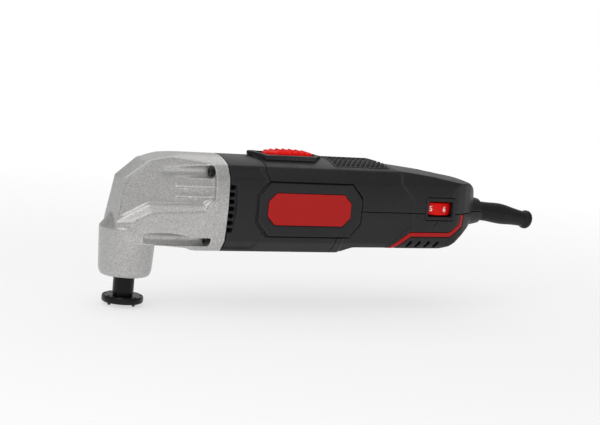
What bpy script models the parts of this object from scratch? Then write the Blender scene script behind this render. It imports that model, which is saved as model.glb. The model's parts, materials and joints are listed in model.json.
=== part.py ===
"""Corded oscillating multi tool: a cast gear head on a motor housing and a two-shell handle.

Sizes are in millimetres and become metres in the helpers. x = 0 is the spindle axis, +x runs to
the cord, +y is the far side and z = 0 is the plane under the drive pins. A parent empty centres
the tool over the origin.
"""

import math

import bmesh
import bpy
from mathutils import Matrix, Vector

MM = 0.001
GAP = 0.3
WELD = 1e-6
SLOT_PHASE = 0.21

# Whole tool
REAR_X = 293.9
SEAM_X = 54.3
MOTOR_Z = 66.0
PARTING_Z = 65.5

# Cross-section of the motor housing and the handle
CROWN_Z = 96.0
CREASE_Y, CREASE_Z = 20.5, 91.5
SHOULDER_Y, SHOULDER_Z = 25.9, 84.0
SIDE_Y, SIDE_Z = 27.1, 68.0
FLANK_Y, FLANK_Z = 24.8, 44.5
SOLE_Y, SOLE_Z = 19.0, 37.6
BOTTOM_Z = 35.4
PAD_Y = 27.5
PAD_GROOVE, PAD_GROOVE_DEPTH = 1.1, 1.3
FRONT_BAY_DEPTH = 0.7
VENT_FLOOR_Y, VENT_REAR_X, VENT_LOW_Z, VENT_HIGH_Z = 24.4, 59.4, 50.1, 79.7
VENT_SLOTS, VENT_SLOT = 7, 2.5
HANDLE_STEP = 0.7

# Spindle and drive flange
PIN_TIP_Z = 0.0
FLANGE_Z, FLANGE_TOP_Z = 1.6, 6.0
FLANGE_R = 13.0
PIN_CIRCLE_R, PIN_R = 10.4, 1.2
SPINDLE_R, SPINDLE_NECK_R, SPINDLE_TIP_R = 6.7, 5.0, 3.7
SPINDLE_STUB_R, CLAMP_HOLE_R, CLAMP_HOLE_TOP_Z = 5.4, 3.4, 22.0
SPINDLE_SHOULDER_Z, SPINDLE_HUB_Z, SPINDLE_TOP_Z = 25.4, 73.2, 81.0
LOWER_BEARING_Z, LOWER_BEARING_R, LOWER_BEARING_T = 26.0, 13.0, 8.0
UPPER_BUSH_Z, UPPER_BUSH_R, UPPER_BUSH_T = 73.8, 6.0, 6.4

# Gear head
COLLAR_Z, COLLAR_R = 18.8, 16.5
COLLAR_TOP_Z, COLLAR_TOP_R = 48.7, 17.85
NOSE_Z, NOSE_R = 56.5, 11.6
NOSE_X = -11.9
HEAD_FLANGE_X = 45.5
PANEL_NOSE_X, PANEL_NOSE_Y, PANEL_NOSE_Z = -8.2, 8.7, 79.6
PANEL_FLARE, PANEL_LEAN = 0.263, 0.14
POCKET_DEPTH = 0.8
RIB_FRONT_X, RIB_Z, RIB_PITCH, RIB_T, RIB_CLIMB = 22.6, 70.6, 6.1, 1.6, 1.3
HEAD_SCREWS = ((-20.2, 86.8), (20.2, 86.8), (-21.4, 44.6), (21.4, 44.6))
HEAD_SCREW_X, HEAD_SCREW_R, HEAD_SCREW_HEAD_R = 42.0, 1.5, 3.0
CHANNEL_R = 3.9

# Motor, along x
BORE_R = 23.5
FRONT_BEARING_X, FRONT_BEARING_R, FRONT_BEARING_T = 47.0, 11.0, 7.0
REAR_BEARING_X, REAR_BEARING_R, REAR_BEARING_T = 126.6, 9.5, 6.0
SHAFT_FRONT_X, SHAFT_STEP_X, SHAFT_REAR_X = 24.5, 34.0, 133.0
SHAFT_R, SHAFT_NOSE_R = 3.7, 2.5
ECCENTRIC_X, ECCENTRIC_R, ECCENTRIC_THROW = 30.0, 4.6, 0.85
ECCENTRIC_BEARING_R, ECCENTRIC_BEARING_T = 7.0, 6.0
FAN_X, FAN_R, FAN_BLADES = 57.5, 21.5, 9
STATOR_X, STATOR_LENGTH, STATOR_R, STATOR_BORE_R = 73.0, 36.0, 22.0, 14.6
CORE_R, CORE_SLOTS = 13.9, 12
COMMUTATOR_X, COMMUTATOR_LENGTH, COMMUTATOR_R = 111.5, 11.0, 9.0
COMMUTATOR_BARS = 14

# Switch on the top
BEZEL_FRONT_X, BEZEL_REAR_X, BEZEL_Y = 74.6, 127.4, 12.0
BEZEL_RISE, BEZEL_WALL = 2.9, 2.4
BUTTON_FRONT_X, BUTTON_REAR_X, BUTTON_Y = 85.4, 120.6, 7.6
BUTTON_NOSE_Y, BUTTON_TAPER = 2.0, 4.2
BUTTON_Z, BUTTON_PEAK_X, BUTTON_PEAK_Z = 96.5, 102.4, 100.4
BUTTON_RIDGES, BUTTON_RIDGE, BUTTON_FALL = 9, 0.9, 2.0
BUTTON_TRAVEL = 6.0
NECK_X, NECK_LENGTH, NECK_Y = 97.0, 12.0, 3.2
ROD_Z, ROD_T, ROD_Y = 89.8, 2.6, 4.4
ROD_FRONT_X, ROD_REAR_X = 92.0, 154.0

# Grip on the top
GRIP_FRONT_X, GRIP_REAR_X, GRIP_Y = 129.5, 168.4, 17.0
GRIP_SINK, GRIP_RISE, GRIP_RIB, GRIP_RIB_X = 1.2, 0.1, 0.9, 2.4
GRIP_RIBS, GRIP_ROOT = 11, 9.0
SLOPE_X, SLOPE_Z, SLOPE_FALL = 158.0, 96.5, 0.177

# Speed dial on the near side
DIAL_X, DIAL_Y, DIAL_Z = 205.0, -13.4, 64.3
DIAL_R, DIAL_T, DIAL_EDGE = 13.2, 8.6, 0.5
WINDOW_X, WINDOW_Z = 18.6, 10.0
FRAME_X, FRAME_Z, FRAME_MID_Z = 22.6, 14.8, 68.7
FRAME_Y = 26.9
POINTER_Y = 25.9

# Red accent and badges
ACCENT_WIDTH, ACCENT_DEPTH = 2.8, 1.2
BADGE_Y, BADGE_T = 27.7, 1.1

# Cord boot
BOOT_Z = 64.7
BOOT_BORE_R = 3.7
BOOT_PATH = (
    (233.0, 0.0), (249.0, 0.0), (265.5, -1.4), (280.0, -3.6), (288.0, -5.0), (293.0, -5.9),
)
BEAD_X, BEAD_Z, BEAD_TILT = 290.0, 59.35, math.radians(9.5)
NECK_FRONT_X, NECK_REAR_X = 226.0, 249.0
NECK_ROOT_R, NECK_END_R = 13.4, 8.6

# Crowned top of the tail
TAIL_X, TAIL_MID_X, TAIL_REAR_X = 171.0, 200.0, 229.0
TAIL_Z, TAIL_MID_Z, TAIL_REAR_Z = 94.2, 91.3, 87.0
TAIL_CROWN_R = 125.0
CHEVRON_X, CHEVRON_PITCH = 198.6, 10.5
TAIL_ROUND_Z = 62.0

# Case screws from below, and the cord clamp
CASE_SCREWS = ((154.0, 16.0), (154.0, -16.0), (187.0, 16.0), (187.0, -16.0))
BOSS_R, CASE_SCREW_R = 3.4, 1.4
CLAMP_X, CLAMP_Y, CLAMP_Z = 226.0, 9.5, 69.0

BLACK = (0.018, 0.018, 0.019)
RED = (0.52, 0.008, 0.008)
SILVER = (0.47, 0.46, 0.45)
STEEL = (0.55, 0.55, 0.56)
COPPER = (0.60, 0.24, 0.10)

PLANES = {
    "X": Matrix(((0, 0, 1), (1, 0, 0), (0, 1, 0))).to_4x4(),
    "Y": Matrix(((1, 0, 0), (0, 0, -1), (0, 1, 0))).to_4x4(),
    "Z": Matrix.Identity(4),
}


# Scene and object helpers


def clear_scene():
    for item in list(bpy.data.objects):
        bpy.data.objects.remove(item, do_unlink=True)


def new_collection(name):
    collection = bpy.data.collections.new(name)
    bpy.context.scene.collection.children.link(collection)
    return collection


def new_empty(name, place, parent=None):
    empty = bpy.data.objects.new(name, None)
    empty.location = Vector(place) * MM
    PARTS.objects.link(empty)
    empty.parent = parent
    return empty


def material(name, colour, roughness, metallic=0.0):
    item = bpy.data.materials.new(name)
    item.use_nodes = True
    shader = item.node_tree.nodes["Principled BSDF"]
    shader.inputs["Base Color"].default_value = (*colour, 1.0)
    shader.inputs["Roughness"].default_value = roughness
    shader.inputs["Metallic"].default_value = metallic
    return item


def add_mesh_object(name, mesh):
    item = bpy.data.objects.new(name, mesh)
    CUTTERS.objects.link(item)
    item.parent = ORIGIN
    item.hide_render = True
    item.display_type = "WIRE"
    return item


def baked_mesh(source, name, place):
    """The evaluated shape of an object as a welded mesh, moved to its place."""
    graph = bpy.context.evaluated_depsgraph_get()
    mesh = bpy.data.meshes.new_from_object(source.evaluated_get(graph))
    mesh.name = name
    bpy.data.objects.remove(source, do_unlink=True)
    shape = bmesh.new()
    shape.from_mesh(mesh)
    bmesh.ops.transform(shape, matrix=place, verts=shape.verts)
    bmesh.ops.remove_doubles(shape, verts=shape.verts, dist=WELD)
    shape.to_mesh(mesh)
    shape.free()
    return mesh


def part(item, name, finish, parent=None):
    """Turn a blank into a finished piece under its own name, optionally on a moving axis."""
    item = solid(item)
    CUTTERS.objects.unlink(item)
    PARTS.objects.link(item)
    item.name = name
    item.hide_render = False
    item.display_type = "TEXTURED"
    item.data.materials.clear()
    item.data.materials.append(material(name, *finish))
    item.data.shade_smooth()
    item.data.set_sharp_from_angle(angle=math.radians(24))
    if parent:
        item.parent = parent
        item.matrix_parent_inverse = Matrix.Translation(-parent.location)
    return item


def copied(item, name):
    return add_mesh_object(name, item.data.copy())


def cut(item, tool, operation="DIFFERENCE"):
    step = item.modifiers.new(tool.name, "BOOLEAN")
    step.operation = operation
    step.solver = "EXACT"
    step.object = tool
    return item


def solid(item):
    """A blank whose Boolean steps are made final, so that it can be copied."""
    name = item.name
    return add_mesh_object(name, baked_mesh(item, name, Matrix.Identity(4)))


# Shape helpers


def prism(name, outline, axis, low, high):
    """A flat outline given its thickness along an axis: (y, z), (x, z) or (x, y) points."""
    curve = bpy.data.curves.new(name, "CURVE")
    curve.dimensions = "2D"
    curve.fill_mode = "BOTH"
    curve.extrude = (high - low) / 2
    spline = curve.splines.new("POLY")
    spline.points.add(len(outline) - 1)
    for point, (u, v) in zip(spline.points, outline):
        point.co = (u, v, 0.0, 1.0)
    spline.use_cyclic_u = True
    flat = bpy.data.objects.new(name, curve)
    CUTTERS.objects.link(flat)
    middle = (low + high) / 2 * (-1 if axis == "Y" else 1)
    place = Matrix.Scale(MM, 4) @ PLANES[axis] @ Matrix.Translation((0.0, 0.0, middle))
    return add_mesh_object(name, baked_mesh(flat, name, place))


def turned(name, profile, axis, centre, steps=24, closed=False, phase=0.0):
    """A profile of (radius, height) points, run down its outer side, turned about an axis."""
    mesh = bpy.data.meshes.new(name)
    count = len(profile)
    edges = [(i, i + 1) for i in range(count - 1)]
    if closed:
        edges.append((count - 1, 0))
    mesh.from_pydata([(r * MM, 0.0, h * MM) for r, h in profile], edges, [])
    blank = bpy.data.objects.new(name, mesh)
    CUTTERS.objects.link(blank)
    screw = blank.modifiers.new("turn", "SCREW")
    screw.steps = steps
    screw.render_steps = steps
    screw.use_merge_vertices = True
    screw.merge_threshold = WELD
    place = Matrix.Translation(Vector(centre) * MM) @ PLANES[axis] @ Matrix.Rotation(phase, 4, "Z")
    return add_mesh_object(name, baked_mesh(blank, name, place))


def rod(name, radius, low, high, axis, centre, steps=24):
    """A plain round bar; its facets start off the axes so that none lines up with a flat side."""
    profile = [(0, high), (radius, high), (radius, low), (0, low)]
    return turned(name, profile, axis, centre, steps, phase=1.0 / (radius + steps))


def ring(name, outer, inner, low, high, axis, centre, steps=24):
    profile = [(outer, high), (outer, low), (inner, low), (inner, high)]
    return turned(name, profile, axis, centre, steps, closed=True)


def block(name, low, high):
    outline = ((low[0], low[1]), (high[0], low[1]), (high[0], high[1]), (low[0], high[1]))
    return prism(name, outline, "Z", low[2], high[2])


def loft(name, first, second):
    """A solid between two outlines with the same number of 3-D points."""
    shape = bmesh.new()
    ends = [[shape.verts.new(Vector(p) * MM) for p in outline] for outline in (first, second)]
    count = len(first)
    for i in range(count):
        j = (i + 1) % count
        shape.faces.new((ends[0][i], ends[0][j], ends[1][j], ends[1][i]))
    shape.faces.new(ends[0])
    shape.faces.new(ends[1])
    bmesh.ops.recalc_face_normals(shape, faces=shape.faces)
    mesh = bpy.data.meshes.new(name)
    shape.to_mesh(mesh)
    shape.free()
    return add_mesh_object(name, mesh)


def chamfered(item, width):
    """Break the edges of a blank by a small width."""
    step = item.modifiers.new("edges", "BEVEL")
    step.width = width * MM
    step.segments = 1
    step.limit_method = "ANGLE"
    step.angle_limit = math.radians(40)
    return solid(item)


def arc(first, middle, last, steps):
    """Points on the circle through three points, both ends included."""
    (ax, ay), (bx, by), (cx, cy) = first, middle, last
    d = 2 * (ax * (by - cy) + bx * (cy - ay) + cx * (ay - by))
    a2, b2, c2 = ax * ax + ay * ay, bx * bx + by * by, cx * cx + cy * cy
    ux = (a2 * (by - cy) + b2 * (cy - ay) + c2 * (ay - by)) / d
    uy = (a2 * (cx - bx) + b2 * (ax - cx) + c2 * (bx - ax)) / d
    radius = math.hypot(ax - ux, ay - uy)
    start = math.atan2(ay - uy, ax - ux)
    turn = (math.atan2(cy - uy, cx - ux) - start) % math.tau
    if (math.atan2(by - uy, bx - ux) - start) % math.tau > turn:
        turn -= math.tau
    angles = [start + turn * i / steps for i in range(steps + 1)]
    return [(ux + radius * math.cos(t), uy + radius * math.sin(t)) for t in angles]


def circle(radius, steps, centre=(0.0, 0.0)):
    angles = [math.tau * i / steps for i in range(steps)]
    return [(centre[0] + radius * math.cos(t), centre[1] + radius * math.sin(t)) for t in angles]


def rounded_box(width, height, centre, radius, steps=4):
    """A rectangle with round corners."""
    points = []
    for quarter, (sx, sy) in enumerate(((1, 1), (-1, 1), (-1, -1), (1, -1))):
        cx = centre[0] + sx * (width / 2 - radius)
        cy = centre[1] + sy * (height / 2 - radius)
        for i in range(steps + 1):
            t = math.pi / 2 * (quarter + i / steps)
            points.append((cx + radius * math.cos(t), cy + radius * math.sin(t)))
    return points


def octagon(x_low, x_high, z_low, z_high, corner_x, corner_z):
    return [
        (x_low + corner_x, z_low), (x_high - corner_x, z_low),
        (x_high, z_low + corner_z), (x_high, z_high - corner_z),
        (x_high - corner_x, z_high), (x_low + corner_x, z_high),
        (x_low, z_high - corner_z), (x_low, z_low + corner_z),
    ]


def gear_outline(outer, inner, teeth, share):
    """A round outline with evenly spaced slots; share is the part of each pitch left standing."""
    points = []
    for tooth in range(teeth):
        for radius, step in ((inner, 0.0), (outer, 0.0), (outer, share), (inner, share)):
            t = math.tau * (tooth + step + SLOT_PHASE) / teeth
            points.append((radius * math.cos(t), radius * math.sin(t)))
    return points


def ribbon(path, width):
    """The outline of a band of even width along a broken line."""
    left, right = [], []
    for i, here in enumerate(path):
        before = Vector(here) - Vector(path[i - 1]) if i else None
        after = Vector(path[i + 1]) - Vector(here) if i + 1 < len(path) else None
        ways = [way.normalized() for way in (before, after) if way]
        along = sum(ways, Vector((0.0, 0.0))).normalized()
        across = Vector((-along.y, along.x)) * width / 2 / along.dot(ways[0])
        left.append(tuple(Vector(here) + across))
        right.append(tuple(Vector(here) - across))
    return left + right[::-1]


def inset_outline(points, distance):
    """A closed outline moved inwards by an even distance."""
    corners = [Vector(p) for p in points]
    area = sum(a.x * b.y - b.x * a.y for a, b in zip(corners, corners[1:] + corners[:1]))
    inward = math.copysign(distance, area)
    moved = []
    for i, here in enumerate(corners):
        before = (here - corners[i - 1]).normalized()
        after = (corners[(i + 1) % len(corners)] - here).normalized()
        first, second = Vector((-before.y, before.x)), Vector((-after.y, after.x))
        moved.append(tuple(here + (first + second) * inward / (1 + first.dot(second))))
    return moved


# The outer form shared by the motor housing and both handle shells


def section():
    """The (y, z) cross-section: arched roof, shoulder facets, barrel sides and a rounded sole."""
    half = arc((0.0, CROWN_Z), (CREASE_Y / 2, roof_z(CREASE_Y / 2)), (CREASE_Y, CREASE_Z), 5)
    half += arc((SHOULDER_Y, SHOULDER_Z), (SIDE_Y, SIDE_Z), (FLANK_Y, FLANK_Z), 7)
    half += arc((SOLE_Y, SOLE_Z), (SOLE_Y / 2, BOTTOM_Z + 0.55), (0.0, BOTTOM_Z), 4)
    return half + [(-y, z) for y, z in half[-2:0:-1]]


def roof_radius():
    rise = CROWN_Z - CREASE_Z
    return (CREASE_Y**2 + rise**2) / (2 * rise)


def roof_z(y, rise=0.0):
    radius = roof_radius() + rise
    return CROWN_Z - roof_radius() + math.sqrt(radius**2 - y**2)


def crescent(name, low, high, half_width, x_low, x_high, steps=6):
    """A curved strip lying on the roof between two heights above it."""
    ys = [half_width * (2 * i / steps - 1) for i in range(steps + 1)]
    outline = [(y, roof_z(y, low)) for y in ys] + [(y, roof_z(y, high)) for y in ys[::-1]]
    return prism(name, outline, "X", x_low, x_high)


def handle_side():
    """The (x, z) outline that slopes the tail down and lifts the sole behind the motor."""
    back = arc((TAIL_REAR_X, TAIL_REAR_Z), (236.6, 81.0), (241.0, 70.0), 5)
    return [
        (SEAM_X + GAP, 30.0), (128.0, 30.0), (130.2, 34.9), (145.6, 41.4), (209.0, 41.8),
        (215.0, 43.4), (238.0, 60.0), (241.0, 64.0), *back[::-1], (TAIL_MID_X, TAIL_MID_Z),
        (TAIL_X, TAIL_Z), (SLOPE_X, SLOPE_Z), (SEAM_X + GAP, 97.0),
    ]


def handle_plan():
    """The (x, y) outline that rounds the tail end."""
    side = [(204.0, 28.0)] + arc((212.0, 26.8), (229.0, 20.5), (241.4, 8.0), 5)
    near = [(x, -y) for x, y in side]
    return [(SEAM_X + GAP, -28.0), *near, *side[::-1], (SEAM_X + GAP, 28.0)]


def tail_crown(name, first, last, inset):
    """All that lies under an arch sloping from one crown point to another, and all before it."""
    fall = (last[1] - first[1]) / (last[0] - first[0])
    drop = 30.0**2 / (2 * TAIL_CROWN_R)
    top = first[1] - inset
    arch = arc((-30.0, top - drop), (0.0, top), (30.0, top - drop), 11)
    item = prism(name, [(30.0, 20.0), (-30.0, 20.0), *arch], "X", first[0] - 4.0, 252.0)
    lean = Matrix.Identity(4)
    lean[2][0], lean[2][3] = fall, -fall * first[0] * MM
    item.data.transform(lean)
    front = block(name + "_front", (40.0, -31.0, 19.0), (first[0], 31.0, 120.0))
    return solid(cut(item, front, "UNION"))


def body_blank(name, inset=0.0):
    """The outer form of the housing, or the same form a little smaller all round."""
    item = prism(name, inset_outline(section(), inset), "X", SEAM_X + GAP + inset, 250.0)
    side, plan = inset_outline(handle_side(), inset), inset_outline(handle_plan(), inset)
    cut(item, prism(name + "_side", side, "Y", -30.0, 30.0), "INTERSECT")
    cut(item, prism(name + "_plan", plan, "Z", 25.0, 105.0), "INTERSECT")
    front, middle, rear = (TAIL_X, TAIL_Z), (TAIL_MID_X, TAIL_MID_Z), (TAIL_REAR_X, TAIL_REAR_Z)
    cut(item, tail_crown(name + "_crown", front, middle, inset), "INTERSECT")
    cut(item, tail_crown(name + "_fall", middle, rear, inset), "INTERSECT")
    cut(item, tail_round(name + "_round", inset), "INTERSECT")
    return solid(item)


def tail_round(name, inset):
    """A turned form that rounds off the upper corners of the tail end."""
    swept = arc((17.5, 242.0), (30.4, 229.4), (36.0, 206.0), 6)
    profile = [(radius - inset, x) for radius, x in swept]
    profile = [(0, 242.0), *profile, (36.0 - inset, 40.0), (0, 40.0)]
    return turned(name, profile, "X", (0, 0, TAIL_ROUND_Z), 34, phase=0.05)


def pad_outline(inset=0.0):
    return octagon(74.0 + inset, 147.0 - inset, 48.4 + inset, 82.8 - inset, 7.6, 9.0)


def motor_region(gap=0.0):
    """The side view of the motor housing; its rear edge follows the side pad."""
    return [
        (40.0, 20.0), (129.4 + gap, 20.0), (129.4 + gap, 38.0), (131.2 + gap, 48.4 - gap),
        (139.6 + gap, 48.4 - gap), (147.0 + gap, 57.2), (147.0 + gap, 74.2),
        (139.6 + gap, 82.8 + gap), (81.6 + gap, 82.8 + gap), (80.0 + gap, 88.0),
        (80.0 + gap, 110.0), (40.0, 110.0),
    ]


def handle_room():
    """The hollow of the handle behind the motor."""
    side = [
        (136.0, 46.2), (213.0, 46.2), (232.0, 60.2), (232.0, 76.0), (222.0, 82.0), (200.0, 86.0),
        (168.0, 88.6), (136.0, 88.6),
    ]
    near = [(136.0, -19.5), (216.0, -19.5), (232.0, -15.0)]
    plan = near + [(x, -y) for x, y in near[::-1]]
    room = prism("room", side, "Y", -25.0, 25.0)
    return solid(cut(room, prism("room_plan", plan, "Z", 30.0, 100.0), "INTERSECT"))


def rear_blank():
    """Everything behind the motor housing, with its neck and hollows, before the shells part."""
    item = body_blank("rear")
    neck = [(0, NECK_REAR_X), (NECK_END_R, NECK_REAR_X)]
    neck += [(NECK_ROOT_R, NECK_FRONT_X), (0, NECK_FRONT_X)]
    cut(item, turned("neck", neck, "X", (0, 0, BOOT_Z)), "UNION")
    middle = [
        (136.0, 30.0), (157.2, 30.0), (184.8, 57.0), (185.2, 73.6), (175.0, 84.2), (177.0, 91.0),
        (136.0, 91.0),
    ]
    core = prism("middle_core", inset_outline(section(), HANDLE_STEP), "X", 120.0, 260.0)
    cut(item, solid(cut(prism("middle", middle, "Y", -30.0, 30.0), core)))
    cut(item, prism("motor_space", motor_region(GAP), "Y", -40.0, 40.0))
    cut(item, rod("motor_bore", BORE_R, 50.0, 150.0, "X", (0, 0, MOTOR_Z), 28))
    cut(item, handle_room())
    return solid(item)


# Housing pieces


def make_motor_housing():
    item = body_blank("motor")
    cut(item, front_bay())
    for side in (-1, 1):
        pad = prism("pad", pad_outline(0.5), "Y", -PAD_Y, -BORE_R)
        if side > 0:
            pad.data.transform(Matrix.Scale(-1, 4, (0, 1, 0)))
            pad.data.flip_normals()
        cut(item, chamfered(pad, 0.6), "UNION")
    cut(item, prism("motor_shape", motor_region(), "Y", -40.0, 40.0), "INTERSECT")
    cut(item, rod("motor_bore", BORE_R, 50.0, 150.0, "X", (0, 0, MOTOR_Z), 28))
    for side in (-1, 1):
        cut(item, pad_groove(side))
        near, far = sorted((side * (PAD_Y - BADGE_T), side * 35.0))
        cut(item, prism("badge_seat", badge_outline(-GAP), "Y", near, far))
        cut(item, vent_bay(side))
        near, far = sorted((side * 10.0, side * 26.0))
        low, high = VENT_LOW_Z + 0.3, VENT_HIGH_Z - 0.3 - VENT_SLOT
        for slot in range(VENT_SLOTS):
            z = low + (high - low) * slot / (VENT_SLOTS - 1)
            cut(item, block("vent", (50.0, near, z), (VENT_REAR_X - 0.4, far, z + VENT_SLOT)))
    for y, z in HEAD_SCREWS:
        cut(item, rod("screw_hole", HEAD_SCREW_R + GAP, 50.0, 68.0, "X", (0, y, z), 8))
    return part(item, "motor_housing", (BLACK, 0.55))


def front_bay():
    """The shallow bay round the front sides, from the head back to the pads, under the roof."""
    outline = [
        (40.0, 39.4), (74.3, 39.4), (79.4, 48.6), (84.0, 66.0), (80.0, 81.6), (75.6, 91.0),
        (40.0, 91.0),
    ]
    bay = prism("front_bay", outline, "Y", -35.0, 35.0)
    return solid(cut(bay, body_blank("bay_floor", FRONT_BAY_DEPTH)))


def vent_bay(side):
    """A recess with sloping walls at the seam, for the vent slots."""
    seam_x, slope = 50.0, 0.6
    ends = []
    for rise in (0.0, 4.0):
        grow = rise * slope
        size = 2 * (VENT_REAR_X - seam_x + grow), VENT_HIGH_Z - VENT_LOW_Z + 2 * grow
        outline = rounded_box(*size, (seam_x, (VENT_LOW_Z + VENT_HIGH_Z) / 2), 1.6 + grow, 3)
        ends.append([(x, side * (VENT_FLOOR_Y + rise), z) for x, z in outline])
    return loft("vent_bay", *ends)


def pad_groove(side):
    """A narrow groove of even depth around the side pad."""
    low, high = sorted((side * 15.0, side * 35.0))
    inner = 0.6
    ring_blank = prism("pad_groove", pad_outline(inner - PAD_GROOVE), "Y", low, high)
    cut(ring_blank, prism("pad_core", pad_outline(inner), "Y", -40.0, 40.0))
    return solid(cut(ring_blank, body_blank("groove_floor", PAD_GROOVE_DEPTH)))


def badge_outline(inset=0.0):
    return octagon(80.8 + inset, 138.4 - inset, 55.8 + inset, 76.0 - inset, 5.2, 5.4)


def make_badges():
    for name, side in (("badge_left", -1), ("badge_right", 1)):
        low, high = sorted((side * BADGE_Y, side * (PAD_Y - BADGE_T + GAP)))
        part(prism(name, badge_outline(), "Y", low, high), name, (RED, 0.4))


def boss(name, low, high, place):
    return rod(name, BOSS_R, low, high, "Z", (*place, 0), 10)


def boot_seat():
    """The space the cord boot takes in the tail: its shank and its inner flange."""
    profile = [(0, 260.0), (7.1, 260.0), (7.1, 237.3), (9.6, 237.3), (9.6, 230.0), (0, 230.0)]
    return turned("boot_seat", profile, "X", (0, 0, BOOT_Z), phase=0.11)


def make_upper_shell(rear):
    item = copied(rear, "upper")
    for x, y in CASE_SCREWS:
        cut(item, boss("upper_boss", PARTING_Z - 2.0, 90.0, (x, y)), "UNION")
    half = block("upper_half", (60.0, -40.0, PARTING_Z + GAP / 2), (300.0, 40.0, 120.0))
    cut(item, half, "INTERSECT")
    for x, y in CASE_SCREWS:
        cut(item, rod("pilot", CASE_SCREW_R + GAP, 60.0, 80.0, "Z", (x, y, 0), 8))
    cut(item, boot_seat())
    front, rear, side = NECK_X - BUTTON_TRAVEL - 0.6, NECK_X + NECK_LENGTH + 0.6, NECK_Y + 0.5
    cut(item, block("neck_slot", (front, -side, 85.0), (rear, side, 100.0)))
    front, rear, side = ROD_FRONT_X - BUTTON_TRAVEL - 1.0, ROD_REAR_X + 4.0, ROD_Y + 0.6
    cut(item, block("rod_channel", (front, -side, 86.0), (rear, side, 93.0)))
    cut(item, dial_window())
    cut(item, grip_seat())
    for chevron in tail_chevrons():
        cut(item, chevron)
    return part(item, "handle_upper_shell", (BLACK, 0.55))


def tail_chevrons():
    """Three arrow marks pressed into the sloping top of the tail."""
    slope = math.atan2(TAIL_MID_Z - TAIL_REAR_Z, TAIL_REAR_X - TAIL_MID_X)
    marks = []
    for i in range(3):
        x = CHEVRON_X + CHEVRON_PITCH * i
        arrow = [(-3.5, -6.0), (-1.5, -6.0), (2.5, 0.0), (-1.5, 6.0), (-3.5, 6.0), (0.5, 0.0)]
        mark = prism("chevron", arrow, "Z", -0.9, 3.0)
        surface = TAIL_MID_Z - (x - TAIL_MID_X) * math.tan(slope)
        turn = Matrix.Rotation(slope, 4, "Y")
        mark.data.transform(Matrix.Translation(Vector((x, 0.0, surface)) * MM) @ turn)
        marks.append(mark)
    return marks


def make_lower_shell(rear):
    item = copied(rear, "lower")
    for x, y in CASE_SCREWS:
        cut(item, boss("lower_boss", 43.0, PARTING_Z + 2.0, (x, y)), "UNION")
    for y in (CLAMP_Y, -CLAMP_Y):
        post = rod("clamp_post", 3.2, 54.8, PARTING_Z + 2.0, "Z", (CLAMP_X, y, 0), 10)
        cut(item, post, "UNION")
    half = block("lower_half", (60.0, -40.0, 20.0), (300.0, 40.0, PARTING_Z - GAP / 2))
    cut(item, half, "INTERSECT")
    for x, y in CASE_SCREWS:
        cut(item, rod("screw_way", CASE_SCREW_R + GAP, 30.0, 80.0, "Z", (x, y, 0), 8))
        cut(item, rod("head_way", 3.4, 30.0, 45.2, "Z", (x, y, 0), 10))
    for y in (CLAMP_Y, -CLAMP_Y):
        cut(item, rod("clamp_pilot", CASE_SCREW_R + GAP, 56.0, 80.0, "Z", (CLAMP_X, y, 0), 8))
    cut(item, boot_seat())
    cut(item, dial_window())
    pointer = [(201.2, 57.9), (202.0, 57.5), (204.3, 60.4), (203.5, 60.8)]
    cut(item, prism("pointer", pointer, "Y", -35.0, -POINTER_Y))
    for side in (-1, 1):
        cut(item, accent_groove(side))
        for vent in range(4):
            cut(item, rear_vent(185.2 + 6.7 * vent, side))
    return part(item, "handle_lower_shell", (BLACK, 0.55))


def rear_vent(x, side):
    low, high = sorted((side * 15.0, side * 30.0))
    top = arc((x + 2.0, 45.8), (x + 1.4, 47.2), (x + 0.1, 46.8), 3)
    return prism("rear_vent", [(x - 2.6, 43.2), (x - 0.6, 42.6), *top], "Y", low, high)


def accent_path():
    return [(170.6, 40.4), (184.8, 51.3), (214.0, 51.6), (223.4, 57.8), (224.2, PARTING_Z - 0.6)]


def accent_groove(side):
    low, high = sorted((side * 15.0, side * 35.0))
    groove = prism("accent_groove", ribbon(accent_path(), ACCENT_WIDTH + GAP * 2), "Y", low, high)
    return solid(cut(groove, body_blank("groove_core", ACCENT_DEPTH + GAP)))


def make_accents():
    for name, side in (("accent_trim_left", -1), ("accent_trim_right", 1)):
        low, high = sorted((side * 15.0, side * 35.0))
        trim = prism(name, ribbon(accent_path(), ACCENT_WIDTH), "Y", low, high)
        cut(trim, body_blank("trim_skin"), "INTERSECT")
        cut(trim, body_blank("trim_core", ACCENT_DEPTH))
        part(trim, name, (RED, 0.4))


def dial_window():
    """The opening on the near side that seats the dial frame, and room for the dial behind it."""
    outline = rounded_box(FRAME_X + GAP * 2, FRAME_Z + GAP * 2, (DIAL_X, FRAME_MID_Z), 2.3)
    opening = prism("window", outline, "Y", -35.0, -22.6)
    room = dial_clearance("dial_room", 0.9)
    return solid(cut(opening, room, "UNION"))


def dial_clearance(name, space):
    low, high = DIAL_Z - space, DIAL_Z + DIAL_T + space
    return rod(name, DIAL_R + space, low, high, "Z", (DIAL_X, DIAL_Y, 0), 28)


def make_dial_frame():
    outline = rounded_box(FRAME_X, FRAME_Z, (DIAL_X, FRAME_MID_Z), 2.0)
    frame = chamfered(prism("frame", outline, "Y", -FRAME_Y, -23.0), 0.7)
    window = rounded_box(WINDOW_X, WINDOW_Z, (DIAL_X, DIAL_Z + DIAL_T / 2), 0.8)
    cut(frame, prism("frame_window", window, "Y", -35.0, -20.0))
    cut(frame, dial_clearance("frame_room", 0.5))
    part(frame, "dial_frame", (BLACK, 0.5))


def bezel_hexagon(inset):
    front, rear, side = BEZEL_FRONT_X + inset * 1.5, BEZEL_REAR_X - inset * 1.5, BEZEL_Y - inset
    return [
        (front, 0.0), (83.4 + inset * 0.6, -side), (118.4 - inset * 0.6, -side), (rear, 0.0),
        (118.4 - inset * 0.6, side), (83.4 + inset * 0.6, side),
    ]


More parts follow.
